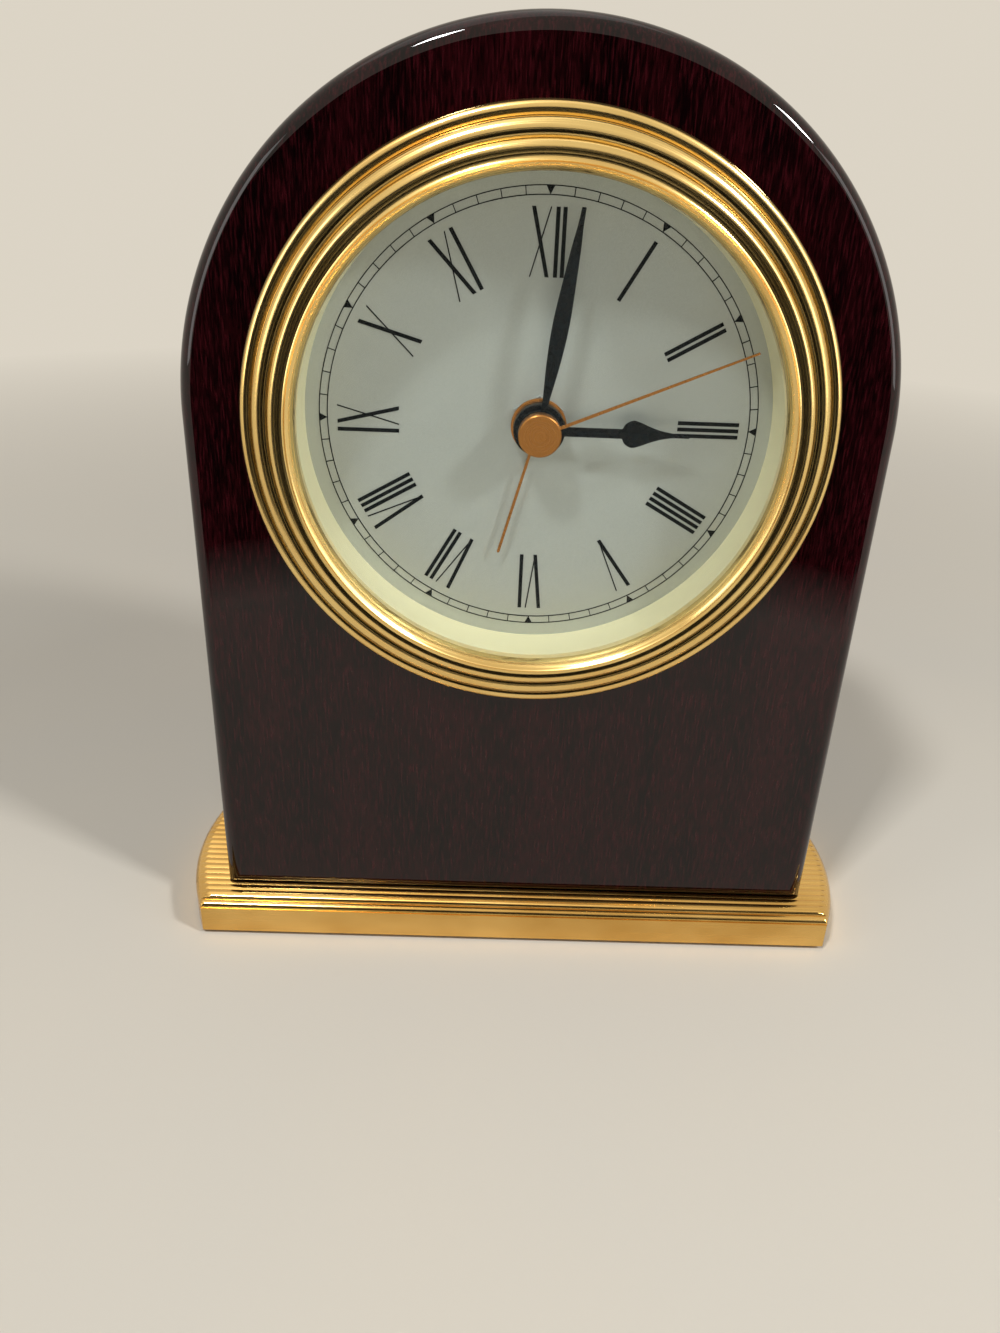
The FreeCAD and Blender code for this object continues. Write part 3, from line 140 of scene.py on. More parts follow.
class HandSizes(bpy.types.PropertyGroup):
    minute_length: length("Minute hand", "Length from the axis to the tip", 28.6)
    hour_length: length("Hour hand", "Length from the axis to the tip", 20.6)
    second_length: length("Second hand", "Length from the axis to the tip", 30.4)
    alarm_length: length("Alarm hand", "Length from the axis to the tip", 19.45)
    edge: length("Edge break", "Tiny rounding left by stamping and lacquer", 0.05)


class FinishColours(bpy.types.PropertyGroup):
    wood_dark: tint("Wood, dark", "Stain in the close grain", "#060102")
    wood_red: tint("Wood, red", "Stain in the open figure", "#27060a")
    brass: tint("Gilt brass", "Lacquered polished brass", "#f7d68c")
    # The base takes this deeper brass as its main colour, partly as painted shade.
    brass_deep: tint("Gilt brass, deep", "Brass where the lacquer has yellowed", "#ebc174")
    cream: tint("Dial ring", "Moulded ring behind the glass", "#eee3b8")
    dial: tint("Dial", "Satin silver dial", "#bcbfbb")
    ink: tint("Print and hands", "Blue-black print and hand lacquer", "#070c0f")
    copper: tint("Copper gold", "Plating of the cap and the slim hands", "#b0773e")
    floor: tint("Floor", "Pale ground the clock stands on", "#d9d2c5")


class StageSizes(bpy.types.PropertyGroup):
    overhead: level("Overhead", "Power of the soft light above", 0.6, 50.0)
    front: level("Front", "Power of each of the two small lights", 2.0, 50.0)
    side: level("Sides", "Power of the tall light at each side", 0.5, 50.0)
    sky: level("Surround", "Light from all around", 0.13, 5.0)


GROUPS = {
    "clock_case": CaseSizes,
    "clock_base": BaseSizes,
    "clock_bezel": BezelSizes,
    "clock_hands": HandSizes,
    "clock_colours": FinishColours,
    "clock_stage": StageSizes,
}


def cleaned(shape):
    """Merge a shape's doubled points, and point its faces outwards."""
    bmesh.ops.remove_doubles(shape, verts=shape.verts, dist=WELD)
    bmesh.ops.recalc_face_normals(shape, faces=shape.faces)
    return shape


def points_of(geometry):
    """The vertices among what an operator has made."""
    return [v for v in geometry if isinstance(v, bmesh.types.BMVert)]


def swept(shape, start, centre, axis, turn, facets):
    """Spin a vertex along an arc. Returns the last vertex."""
    arc = bmesh.ops.spin(
        shape, geom=[start], cent=centre, axis=axis, angle=turn, steps=facets, use_duplicate=False
    )
    return points_of(arc["geom_last"])[0]


def bow(shape, start, end, share, facets):
    """Sweep a vertex to end on an arc that rises by a share of its chord. Returns the last one."""
    first = start.co.copy()
    chord = Vector(end) - first
    rise = share * chord.length
    radius = (chord.length ** 2 / 4 + rise ** 2) / (2 * rise)
    across = Vector((chord.y, -chord.x, 0)).normalized()
    centre = first + chord / 2 - across * (radius - rise)
    return swept(shape, start, centre, AXIS_Z, 4 * atan2(2 * rise, chord.length), facets)


def section(shape, start, moves, closed=True, facets=8):
    """Draw a wire section in the XY plane. A move is (x, y), or (x, y, rise) where it is bowed."""
    first = shape.verts.new((start[0], start[1], 0))
    last = first
    for move in moves:
        end = Vector((move[0], move[1], 0))
        if len(move) > 2:
            last = bow(shape, last, end, move[2], facets)
            continue
        point = shape.verts.new(end)
        shape.edges.new((last, point))
        last = point
    if closed:
        shape.edges.new((last, first))
    return shape


def turned(start, moves, closed=True, facets=192, place=HUB, arc_facets=8):
    """Turn a section of (radius, y) points round the axis through place."""
    shape = section(bmesh.new(), start, moves, closed, arc_facets)
    geometry = shape.verts[:] + shape.edges[:]
    bmesh.ops.spin(
        shape, geom=geometry, cent=(0, 0, 0), axis=AXIS_Y, angle=tau, steps=facets, use_merge=True
    )
    bmesh.ops.translate(cleaned(shape), verts=shape.verts, vec=place)
    return shape


def pull(shape, way):
    """Give the flat faces of a shape their thickness, and keep both sides."""
    pulled = bmesh.ops.extrude_face_region(shape, geom=shape.faces[:], use_keep_orig=True)
    bmesh.ops.translate(shape, verts=points_of(pulled["geom"]), vec=way)
    bmesh.ops.recalc_face_normals(shape, faces=shape.faces)


def rounded(shape, edges, width, facets, clamped=False):
    """Round some edges of a shape."""
    bmesh.ops.bevel(
        shape,
        geom=edges,
        offset=width,
        segments=facets,
        affect="EDGES",
        profile=0.5,
        material=-1,
        clamp_overlap=clamped,
    )


def soften(shape, width, facets=2):
    """Round every edge of a shape at which its faces turn by more than 30 degrees."""
    inner = [e for e in shape.edges if len(e.link_faces) == 2]
    sharp = [e for e in inner if e.calc_face_angle() > radians(30)]
    rounded(shape, sharp, width, facets, clamped=True)


def placed(name, shape, material=None):
    """Make an object of a shape and use the shape up."""
    mesh = bpy.data.meshes.new(name)
    shape.to_mesh(mesh)
    shape.free()
    if material:
        mesh.materials.append(material)
    made = bpy.data.objects.new(name, mesh)
    bpy.context.scene.collection.objects.link(made)
    return made


def combined(shape, other, operation):
    """Union of two closed shapes, or the first less the second."""
    kept = placed("kept", cleaned(shape))
    tool = placed("tool", cleaned(other))
    cut = kept.modifiers.new("Cut", "BOOLEAN")
    cut.operation = operation
    cut.solver = "EXACT"
    cut.object = tool
    graph = bpy.context.evaluated_depsgraph_get()
    mesh = bpy.data.meshes.new_from_object(kept.evaluated_get(graph))
    result = bmesh.new()
    result.from_mesh(mesh)
    for used in (mesh, kept.data, tool.data):
        bpy.data.meshes.remove(used)
    return result


def piece(name, shape, body, slot, *nodes, finish=None, flat_edges=35.0):
    """Make an object of a finished shape, and put it on its body in place of its nodes."""
    cleaned(shape)
    for edge in shape.edges:
        edge.smooth = len(edge.link_faces) == 2 and edge.calc_face_angle() < radians(flat_edges)
    for face in shape.faces:
        face.smooth = True
    made = placed(name, shape, bpy.data.materials[finish or FINISH_NAMES[slot]])
    even = made.modifiers.new("Even shading", "WEIGHTED_NORMAL")
    even.keep_sharp = True
    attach(made, body)
    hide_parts(*nodes)
    return made


def add(tree, kind, links=None, give=None, **settings):
    """Add one node with its settings and links. Returns the node, or the output that give names."""
    node = tree.nodes.new("ShaderNode" + kind)
    for name, value in settings.items():
        setattr(node, name, value)
    for socket, value in (links or {}).items():
        if isinstance(value, bpy.types.NodeSocket):
            tree.links.new(value, node.inputs[socket])
        else:
            node.inputs[socket].default_value = value
    return node if give is None else node.outputs[give]


def start_finish(name, **sockets):
    """New material with a shader's plain values, and an underscore for each space in their names.

    Returns its tree, its shader and its Object coordinates.
    """
    material = bpy.data.materials.new(name)
    material.use_nodes = True
    tree = material.node_tree
    shader = next(n for n in tree.nodes if n.type == "BSDF_PRINCIPLED")
    for socket, value in sockets.items():
        shader.inputs[socket.replace("_", " ")].default_value = value
    return tree, shader, add(tree, "TexCoord", give="Object")


def grain(tree, place, size, detail=3.0, distortion=0.0, roughness=0.5):
    """Noise pattern with cells of a size in millimetres, one for all or one each for X, Y and Z."""
    scale = [1 / (side * MM) for side in (size if isinstance(size, tuple) else (size,) * 3)]
    sized = add(tree, "Mapping", {"Vector": place, "Scale": scale}, "Vector")
    settings = {"Scale": 1.0, "Detail": detail, "Distortion": distortion, "Roughness": roughness}
    return add(tree, "TexNoise", {"Vector": sized, **settings}, "Fac")


def show(tree, surface):
    """Show a surface in place of the bare shader."""
    out = next(n for n in tree.nodes if n.type == "OUTPUT_MATERIAL")
    tree.links.new(surface, out.inputs["Surface"])


# The rays by which the camera sees a thing straight, in a mirror or through glass.
SEEN = ("Camera", "Glossy", "Transmission")


def one_for(tree, kinds):
    """One for the kinds of ray that are named, and nought for the others."""
    path = add(tree, "LightPath").outputs
    either = path[f"Is {kinds[0]} Ray"]
    for kind in kinds[1:]:
        either = add(tree, "Math", {0: either, 1: path[f"Is {kind} Ray"]}, 0, operation="MAXIMUM")
    return either


# In the finishes, a Map Range node's sockets 0 to 4 are the value, the two ends of the range it
# comes from and the two ends of the range it goes to. A Mix node's are 0 for the share, and 6 and
# 7 for the two colours. MIXED makes it mix colours, and its colour comes out of socket 2. Nearly
# all of a noise pattern's values lie in the range BROAD, and the middle ones in NARROW.
MIXED = {"give": 2, "data_type": "RGBA"}
BROAD = {1: 0.3, 2: 0.7}
NARROW = {1: 0.35, 2: 0.65}


def mottle(tree, pattern, span, most, base, other, least=0.0):
    """Mix at most a share of another colour into a base colour, by where a pattern is in a span."""
    share = add(tree, "MapRange", {0: pattern, **span, 3: least, 4: most}, 0)
    return add(tree, "Mix", {0: share, 6: base, 7: other}, **MIXED)


def dress(shader, colour, pattern=None, rough=None, relief=None):
    """Wire a colour into a shader, with a roughness and a relief that follow a pattern.

    The roughness is a range, and the relief is a depth in millimetres and a strength.
    """
    tree = shader.id_data
    tree.links.new(colour, shader.inputs["Base Color"])
    if rough:
        sheen = add(tree, "MapRange", {0: pattern, **BROAD, 3: rough[0], 4: rough[1]}, 0)
        tree.links.new(sheen, shader.inputs["Roughness"])
    if relief:
        bump = {"Height": pattern, "Distance": relief[0] * MM, "Strength": relief[1]}
        tree.links.new(add(tree, "Bump", bump, "Normal"), shader.inputs["Normal"])


def lacquered_rosewood(colours):
    """Rosewood-stained hardwood under rubbed polyester lacquer.

    The eye sees near-black red with upright figure under a deep mirror gloss. The figure is about
    6 mm wide, and fibres and pores are about 0.3 mm wide and a few millimetres long.
    """
    tree, shader, place = start_finish(
        "lacquered_rosewood",
        Roughness=0.5,
        IOR=1.5,
        Coat_Weight=1.0,
        Coat_Roughness=0.025,
        Coat_IOR=1.43,
        Specular_IOR_Level=0.0,
    )
    figure = grain(tree, place, (6, 6, 34), 4.0, distortion=0.5)
    fibre = grain(tree, place, (0.28, 0.28, 3.6), 2.0)
    pores = grain(tree, place, (0.3, 0.3, 2.2), 1.0)
    span = {1: 0.4, 2: 0.68}
    stained = mottle(tree, figure, span, 0.8, colours.wood_dark, colours.wood_red, least=0.05)
    streaked = mottle(tree, fibre, {1: 0.46, 2: 0.68}, 0.75, stained, linear("#360c12"))
    pored = mottle(tree, pores, {1: 0.5, 2: 0.64}, 0.75, streaked, linear("#050101"))
    dress(shader, pored, fibre, relief=(0.01, 0.3))


def gilt(name, lines, fine, fresh, aged):
    """Polished lacquered brass whose last cut left fine lines. The brass is yellower where aged."""
    tree, shader, place = start_finish(name, Metallic=1.0)
    scratches = lines(tree, place)
    cloud = grain(tree, place, (14, 14, 9), 2.0)
    colour = mottle(tree, cloud, {1: 0.35, 2: 0.7}, 0.8, fresh, aged)
    dress(shader, colour, scratches, (0.12, 0.3), (fine, 0.5))


# Distance in millimetres between the lines that the last cut of a tool or a die leaves. The real
# ones are about 0.1 mm apart; they are drawn wider apart so that they show.
TOOL_LINE = 0.25


def turned_lines(tree, place):
    """Tool lines round the dial's axis."""
    off = add(tree, "VectorMath", {0: place, 1: HUB}, "Vector", operation="SUBTRACT")
    flat = add(tree, "VectorMath", {0: off, 1: (1, 0, 1)}, "Vector", operation="MULTIPLY")
    radius = add(tree, "VectorMath", {0: flat}, "Value", operation="LENGTH")
    turns = add(tree, "Math", {0: radius, 1: 1 / (TOOL_LINE * MM)}, 0, operation="MULTIPLY")
    settings = {"W": turns, "Scale": 1.0, "Detail": 2.0}
    return add(tree, "TexNoise", settings, "Fac", noise_dimensions="1D")


def drawn_lines(tree, place):
    """Die lines along the moulding."""
    return grain(tree, place, (60, TOOL_LINE, TOOL_LINE), 2.0)


def turned_brass(colours):
    """Gilt brass, turned and lacquered: bright yellow rings with fine circular lines."""
    gilt("turned_gilt_brass", turned_lines, 0.03, colours.brass, colours.brass_deep)


def drawn_brass_painted_shade(colours):
    """Gilt brass, drawn through a die and lacquered, with fine straight lines; deep yellow in part
    as painted shade.
    """
    # Painted shade: the base's brass is deeper than the bezel's, standing in for the shaded floor
    # that its front reflects.
    gilt("drawn_gilt_brass_painted_shade", drawn_lines, 0.003, colours.brass_deep, linear("#cfa052"))


def crystal_glass(colours):
    """Flat float glass, polished at the edge: clear, with a faint mirror image of the room.

    Light that falls through it reaches the dial undimmed.
    """
    tree, shader, _ = start_finish(
        "float_glass",
        Base_Color=linear("#fafdfc"),
        Roughness=0.0,
        IOR=1.22,
        Transmission_Weight=1.0,
    )
    light = one_for(tree, ("Shadow", "Diffuse"))
    clear = add(tree, "BsdfTransparent", {"Color": linear("#f4f8f7")}, "BSDF")
    show(tree, add(tree, "MixShader", {0: light, 1: shader.outputs["BSDF"], 2: clear}, "Shader"))


def satin_dial(colours):
    """Aluminium disc, blasted and lacquered silver: an even grey with the finest sparkle."""
    tree, shader, place = start_finish(
        "satin_silver_dial", Metallic=0.45, Coat_Weight=0.2, Coat_Roughness=0.3
    )
    # The blasting is about 0.05 mm; it is drawn at 0.18 mm so that it shows.
    blast = grain(tree, place, 0.18, 2.0)
    cloud = grain(tree, place, 16, 2.0)
    pitted = mottle(tree, blast, BROAD, 0.35, colours.dial, linear("#a2a5a1"))
    even = mottle(tree, cloud, NARROW, 0.25, pitted, linear("#b9bab3"))
    dress(shader, even, blast, (0.36, 0.5), (0.006, 0.4))


def printed_ink(colours):
    """Pad-printed ink: blue-black, slightly raised, with a dull sheen."""
    tree, shader, place = start_finish("printed_ink", IOR=1.5, Specular_IOR_Level=0.1)
    cover = grain(tree, place, 0.3, 2.0)
    colour = mottle(tree, cover, {1: 0.35, 2: 0.75}, 0.5, colours.ink, linear("#12191d"))
    dress(shader, colour, cover, (0.42, 0.55))


def hand_lacquer(colours):
    """Stamped brass, stove-lacquered: smooth blue-black with a soft gloss."""
    tree, shader, place = start_finish(
        "blue_black_lacquer", Roughness=0.26, IOR=1.5, Specular_IOR_Level=0.18
    )
    flow = grain(tree, place, 0.8, 2.0)
    colour = mottle(tree, flow, {1: 0.35, 2: 0.7}, 0.5, colours.ink, linear("#101a20"))
    dress(shader, colour, flow, relief=(0.01, 0.25))


def copper_plate(colours):
    """Brass with copper-gold plating, faced on a lathe: warm, with fine circular lines."""
    tree, shader, place = start_finish("copper_gold_plate", Metallic=1.0)
    lines = turned_lines(tree, place)
    colour = mottle(tree, lines, BROAD, 0.5, colours.copper, linear("#95602f"))
    dress(shader, colour, lines, (0.24, 0.4), (0.012, 0.5))


def wool_felt(colours):
    """Pressed wool felt: matt dark green, with a short soft nap."""
    tree, shader, place = start_finish(
        "green_wool_felt", Roughness=0.95, Sheen_Weight=0.5, Sheen_Roughness=0.6
    )
    # The fibres are about 0.03 mm thick; the tufts are drawn at 0.3 mm so that they show.
    tufts = grain(tree, place, 0.3, 4.0, roughness=0.7)
    cloud = grain(tree, place, 4, 2.0)
    dyed = add(tree, "Mix", {0: tufts, 6: linear("#10261a"), 7: linear("#2b4a36")}, **MIXED)
    patchy = mottle(tree, cloud, BROAD, 0.4, dyed, linear("#17301f"))
    dress(shader, patchy, tufts, relief=(0.12, 0.8))


# Plain finishes, each under its slot: name, colour, second colour, the two ends of its roughness,
# relief in millimetres, cell size in millimetres, and the shader's plain values.
METAL = {"Metallic": 1.0}
PLAIN_FINISHES = {
    # Polystyrene, moulded and satin: a warm cream with a faint flow mark.
    "cream_plastic": (
        "moulded_cream_styrene", "cream", "#e9dfb9", 0.3, 0.42, 0.004, 2, {"IOR": 1.59}
    ),
    # ABS moulded in a spark-eroded tool: charcoal black with a fine even grain.
    "black_plastic": (
        "moulded_black_abs", "#161617", "#222224", 0.42, 0.6, 0.03, 0.35, {"IOR": 1.54}
    ),
    # Nitrile rubber, pressed: dull black with a dusty bloom.
    "black_rubber": (
        "pressed_nitrile_rubber", "#131313", "#232221", 0.7, 0.88, 0.02, 0.5, {"IOR": 1.52}
    ),
    # ABS moulding of the movement: pale grey and slightly glossy.
    "plate_plastic": (
        "moulded_grey_abs", "#a9abaa", "#b9bbb9", 0.35, 0.48, 0.006, 1.2, {"IOR": 1.54}
    ),
    # Acetal gears, moulded: milky white and waxy.
    "gear_plastic": (
        "moulded_white_acetal", "#e8e6dc", "#dcd9cb", 0.28, 0.38, 0.004, 0.9, {"IOR": 1.48}
    ),
    # Mild steel, drawn and zinc plated: grey with a fine grain.
    "steel": ("zinc_plated_steel", "#b9babc", "#9c9da0", 0.25, 0.42, 0.01, (0.2, 0.6, 0.6), METAL),
    # Spring strip, rolled and nickel plated: bright with faint lines along the strip.
    "spring_steel": (
        "nickel_plated_spring_strip", "#d2cfc6", "#bdbab2", 0.14, 0.28, 0.006, (6, 0.2, 0.2), METAL
    ),
    # Soft iron, stamped and annealed: mid grey with a mill grain.
    "soft_iron": (
        "annealed_soft_iron", "#8e8f92", "#77787c", 0.35, 0.5, 0.01, (4, 0.3, 0.3), METAL
    ),
    # Ferrite, pressed and sintered: dark grey, close and matt.
    "magnet": ("sintered_ferrite", "#38383c", "#46464a", 0.5, 0.66, 0.015, 0.25, {"Metallic": 0.6}),
    # Woven glass laminate under solder mask: glossy green with the weave just showing.
    "board": ("green_solder_mask", "#0d5a2c", "#137038", 0.22, 0.34, 0.02, 0.5, {"IOR": 1.55}),
    # Epoxy, moulded round the chip: black, with a satin grain.
    "chip_plastic": (
        "moulded_black_epoxy", "#141415", "#1f1f21", 0.38, 0.5, 0.01, 0.2, {"IOR": 1.57}
    ),
    # Steel cell in a plain shrunk sleeve: dark grey with a soft shine.
    "cell_jacket": (
        "shrunk_grey_sleeve", "#56585c", "#63656a", 0.24, 0.36, 0.006, (3, 1, 1), {"IOR": 1.5}
    ),
}

# The finish that each of the record's slots gets. The base has a drawn brass of its own instead,
# made deeper in part as painted shade.
FINISH_NAMES = {
    "lacquered_wood": "lacquered_rosewood",
    "gilt_brass": "turned_gilt_brass",
    "clear_glass": "float_glass",
    "dial_silver": "satin_silver_dial",
    "dial_ink": "printed_ink",
    "black_hand": "blue_black_lacquer",
    "copper_gold": "copper_gold_plate",
    "copper_wire": "enamelled_copper_wire",
    "felt": "green_wool_felt",
    **{slot: values[0] for slot, values in PLAIN_FINISHES.items()},
}


def plain_finish(colours, name, first, second, smooth, rough, depth, size, sockets):
    """One of the plain finishes, mottled between two close colours."""
    tree, shader, place = start_finish(name, **sockets)
    cells = grain(tree, place, size)
    wide = tuple(12 * side for side in size) if isinstance(size, tuple) else 12 * size
    cloud = grain(tree, place, wide, 2.0)
    base = linear(first) if first.startswith("#") else getattr(colours, first)
    mottled = mottle(tree, cells, BROAD, 0.6, base, linear(second))
    clouded = mottle(tree, cloud, NARROW, 0.3, mottled, base)
    dress(shader, clouded, cells, (smooth, rough), (depth, 0.6))


def enamelled_wire(colours):
    """Enamelled copper wire, wound in layers: copper red with the turns showing as ribs."""
    tree, shader, place = start_finish(
        "enamelled_copper_wire", Metallic=1.0, Roughness=0.3, Coat_Weight=0.6, Coat_Roughness=0.15
    )
    # The wire is about 0.05 mm; its turns are drawn 0.25 mm apart so that they show.
    sized = add(tree, "Mapping", {"Vector": place, "Scale": (1 / (0.25 * MM), 1, 1)}, "Vector")
    # A wave's bands are one unit apart at a scale of a tenth of pi.
    turns = add(tree, "TexWave", {"Vector": sized, "Scale": 0.314}, "Fac")
    colour = add(tree, "Mix", {0: turns, 6: linear("#7a341a"), 7: linear("#c8683a")}, **MIXED)
    dress(shader, colour, turns, relief=(0.05, 0.8))


class CLOCK_OT_finishes(bpy.types.Operator):
    """Make the finishes and give every carried-over part its own"""

    bl_idname = "clock.finishes"
    bl_label = "Finishes"

    def execute(self, context):
        colours = context.scene.clock_colours
        for make in (
            lacquered_rosewood, turned_brass, drawn_brass_painted_shade, crystal_glass, satin_dial, printed_ink,
            hand_lacquer, copper_plate, wool_felt, enamelled_wire,
        ):
            make(colours)
        for values in PLAIN_FINISHES.values():
            plain_finish(colours, *values)
        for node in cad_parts.values():
            for hold in node.material_slots:
                slot = hold.material.name.split(".")[0]
                hold.material = bpy.data.materials[FINISH_NAMES[slot]]
        return {"FINISHED"}


def arch(facets):
    """Flat face with a straight foot and a round top, at the front of the case."""
    half = CASE_HIGH.x
    front = CASE_LOW.y
    centre = CASE_HIGH.z - half
    shape = bmesh.new()
    foot = [shape.verts.new((side * half, front, CASE_LOW.z)) for side in (-1, 1)]
    spring = shape.verts.new((half, front, centre))
    shape.edges.new(foot)
    shape.edges.new((foot[1], spring))
    shape.edges.new((swept(shape, spring, (0, 0, centre), AXIS_Y, -pi, facets), foot[0]))
    bmesh.ops.contextual_create(shape, geom=shape.edges[:])
    return shape


def open_end(shape, depth, radius, facets):
    """Cut the bore's circle out of the case's flat face at a depth. Returns the circle's edges."""
    flat = max(
        (f for f in shape.faces if abs(f.calc_center_median().y - depth) < WELD),
        key=lambda face: face.calc_area(),
    )
    rim = flat.edges[:]
    bmesh.ops.delete(shape, geom=[flat], context="FACES_ONLY")
    middle = Matrix.Translation(HUB + Vector((0, depth, 0)))
    ring = bmesh.ops.create_circle(
        shape, segments=facets, radius=radius, matrix=middle @ Matrix.Rotation(pi / 2, 4, "X")
    )
    held = set(ring["verts"])
    circle = [e for e in shape.edges if all(v in held for v in e.verts)]
    bmesh.ops.triangle_fill(shape, use_beauty=True, edges=rim + circle, normal=(0, depth, 0))
    return circle


class CLOCK_OT_case(bpy.types.Operator):
    """Arched wood block with rounded edges and the bore for the insert"""

    bl_idname = "clock.case"
    bl_label = "Case"

    def execute(self, context):
        sizes = context.scene.clock_case
        radius = sizes.bore_radius
        front = CASE_LOW.y
        back = CASE_HIGH.y
        shape = arch(sizes.arch_steps)
        pull(shape, (0, back - front, 0))
        rims = [e for e in shape.edges if abs(e.verts[0].co.y - e.verts[1].co.y) < WELD]
        rounded(shape, rims, sizes.edge_round, 8)
        ends = [open_end(shape, depth, radius, 2 * sizes.arch_steps) for depth in (front, back)]
        bmesh.ops.bridge_loops(shape, edges=ends[0] + ends[1])
        rear = [v for v in shape.verts if abs(v.co.y - back) < WELD]
        near = 0.05 * MM
        mouth = {v for v in rear if abs(hypot(v.co.x, v.co.z - HUB.z) - radius) < near}
        edges = [e for e in shape.edges if all(v in mouth for v in e.verts)]
        rounded(shape, edges, sizes.bore_round, 3)
        piece("arched_case", shape, "clock", "lacquered_wood", "wood_case")
        return {"FINISHED"}


# Section of the base's moulding: how far in from its face the flat along the ledge ends, the lower
# bead ends, the upper bead starts and the top starts, and the step in height between the beads.
LEDGE_FLAT = 0.3 * MM
LOWER_BEAD_END = 1.3 * MM
UPPER_BEAD_START = 1.42 * MM
TOP_START = 2.0 * MM
BEAD_STEP = 0.8 * MM
# Rise of each bead as a share of its width. Much more would fold the bead over its own foot.
LOWER_BEAD_RISE = 0.22
UPPER_BEAD_RISE = 0.15
# The rounded ends: how far in from the edge their curve ends and the top starts, how far under the
# top the curve ends, and its rise as a share of its width.
END_CURVE_END = 1.0 * MM
END_TOP_START = 2.0 * MM
END_DROP = 0.35 * MM
END_RISE = 0.11
# Width of the slope into the first groove of the top, and how far along the screw holes are.
FIRST_GROOVE = 0.08 * MM
SCREW_PLACE = 25.0 * MM


def screw_hole(middle):
    """Cutter for a recessed screw hole in the underside of the base, at a distance along it."""
    low = 0.2 * MM
    step = 2.75 * MM
    high = 8.0 * MM
    head = 3.15 * MM
    shank = 1.75 * MM
    moves = [(head, low), (head, step), (shank, step), (shank, high), (0, high)]
    shape = turned((0, low), moves, closed=False, facets=32, place=(0, 0, 0))
    upright = Matrix.Translation((middle, 0, 0)) @ Matrix.Rotation(pi / 2, 4, "X")
    bmesh.ops.transform(shape, verts=shape.verts, matrix=upright)
    return shape


def base_section(sizes):
    """Wire across the base from ledge to ledge, with its beads and the reeds on its top."""
    half = BASE_HIGH.y
    top = BASE_HIGH.z
    ledge = sizes.ledge
    step = ledge + BEAD_STEP
    shoulder = half - TOP_START
    first = FIRST_GROOVE - shoulder
    count = round(2 * shoulder / sizes.reed_pitch)
    pitch = 2 * (shoulder - FIRST_GROOVE) / count
    valley = top - sizes.reed_depth
    crown = sizes.reed_depth / pitch
    moves = [
        (LEDGE_FLAT - half, ledge),
        (LOWER_BEAD_END - half, step, -LOWER_BEAD_RISE),
        (UPPER_BEAD_START - half, step),
        (-shoulder, top, -UPPER_BEAD_RISE),
        (first, valley),
    ]
    moves += [(first + reed * pitch, valley, -crown) for reed in range(1, count + 1)]
    moves += [
        (shoulder, top),
        (half - UPPER_BEAD_START, step, -UPPER_BEAD_RISE),
        (half - LOWER_BEAD_END, step),
        (half - LEDGE_FLAT, ledge, -LOWER_BEAD_RISE),
        (half, ledge),
    ]
    shape = section(bmesh.new(), (-half, ledge), moves, closed=False, facets=5)
    upright = Matrix(((0, 0, 1), (1, 0, 0), (0, 1, 0))).to_4x4()
    bmesh.ops.transform(shape, verts=shape.verts, matrix=upright)
    return shape


def end_columns(sizes):
    """Side, plan radius and height limit of each line across the base, from end to end."""
    radius = sizes.end_radius
    top = BASE_HIGH.z
    moves = [(radius - END_CURVE_END, top - END_DROP, END_RISE), (radius - END_TOP_START, top)]
    wire = section(bmesh.new(), (radius, sizes.ledge), moves, closed=False, facets=5)
    rims = [(vert.co.x, vert.co.y) for vert in wire.verts]
    wire.free()
    return [(-1, *rim) for rim in rims] + [(1, *rim) for rim in reversed(rims)]


class CLOCK_OT_base(bpy.types.Operator):
    """Brass base with its fascia, two beads, reeded top and rounded ends"""

    bl_idname = "clock.base"
    bl_label = "Base"

    def execute(self, context):
        sizes = context.scene.clock_base
        middle = BASE_HIGH.x - sizes.end_radius
        shape = base_section(sizes)
        line = shape.verts[:]
        limits = []
        for number, (side, radius, height) in enumerate(end_columns(sizes)):
            if number:
                held = set(line)
                edges = [e for e in shape.edges if all(v in held for v in e.verts)]
                line = points_of(bmesh.ops.extrude_edge_only(shape, edges=edges)["geom"])
            for vert in line:
                vert.co.x = side * (middle + sqrt(radius * radius - vert.co.y * vert.co.y))
            limits.append((line, height))
        for line, height in limits:
            for vert in line:
                vert.co.z = min(vert.co.z, height)
        brim = [e for e in shape.edges if e.is_boundary]
        for vert in points_of(bmesh.ops.extrude_edge_only(shape, edges=brim)["geom"]):
            vert.co.z = BASE_LOW.z
        bmesh.ops.holes_fill(shape, edges=[e for e in shape.edges if e.is_boundary])
        for side in (-1, 1):
            shape = combined(shape, screw_hole(side * SCREW_PLACE), "DIFFERENCE")
        # The base's finish is darkened in part as painted shade.
        piece("moulded_base", shape, "clock", "gilt_brass", "base_plate", finish="drawn_gilt_brass_painted_shade")
        return {"FINISHED"}


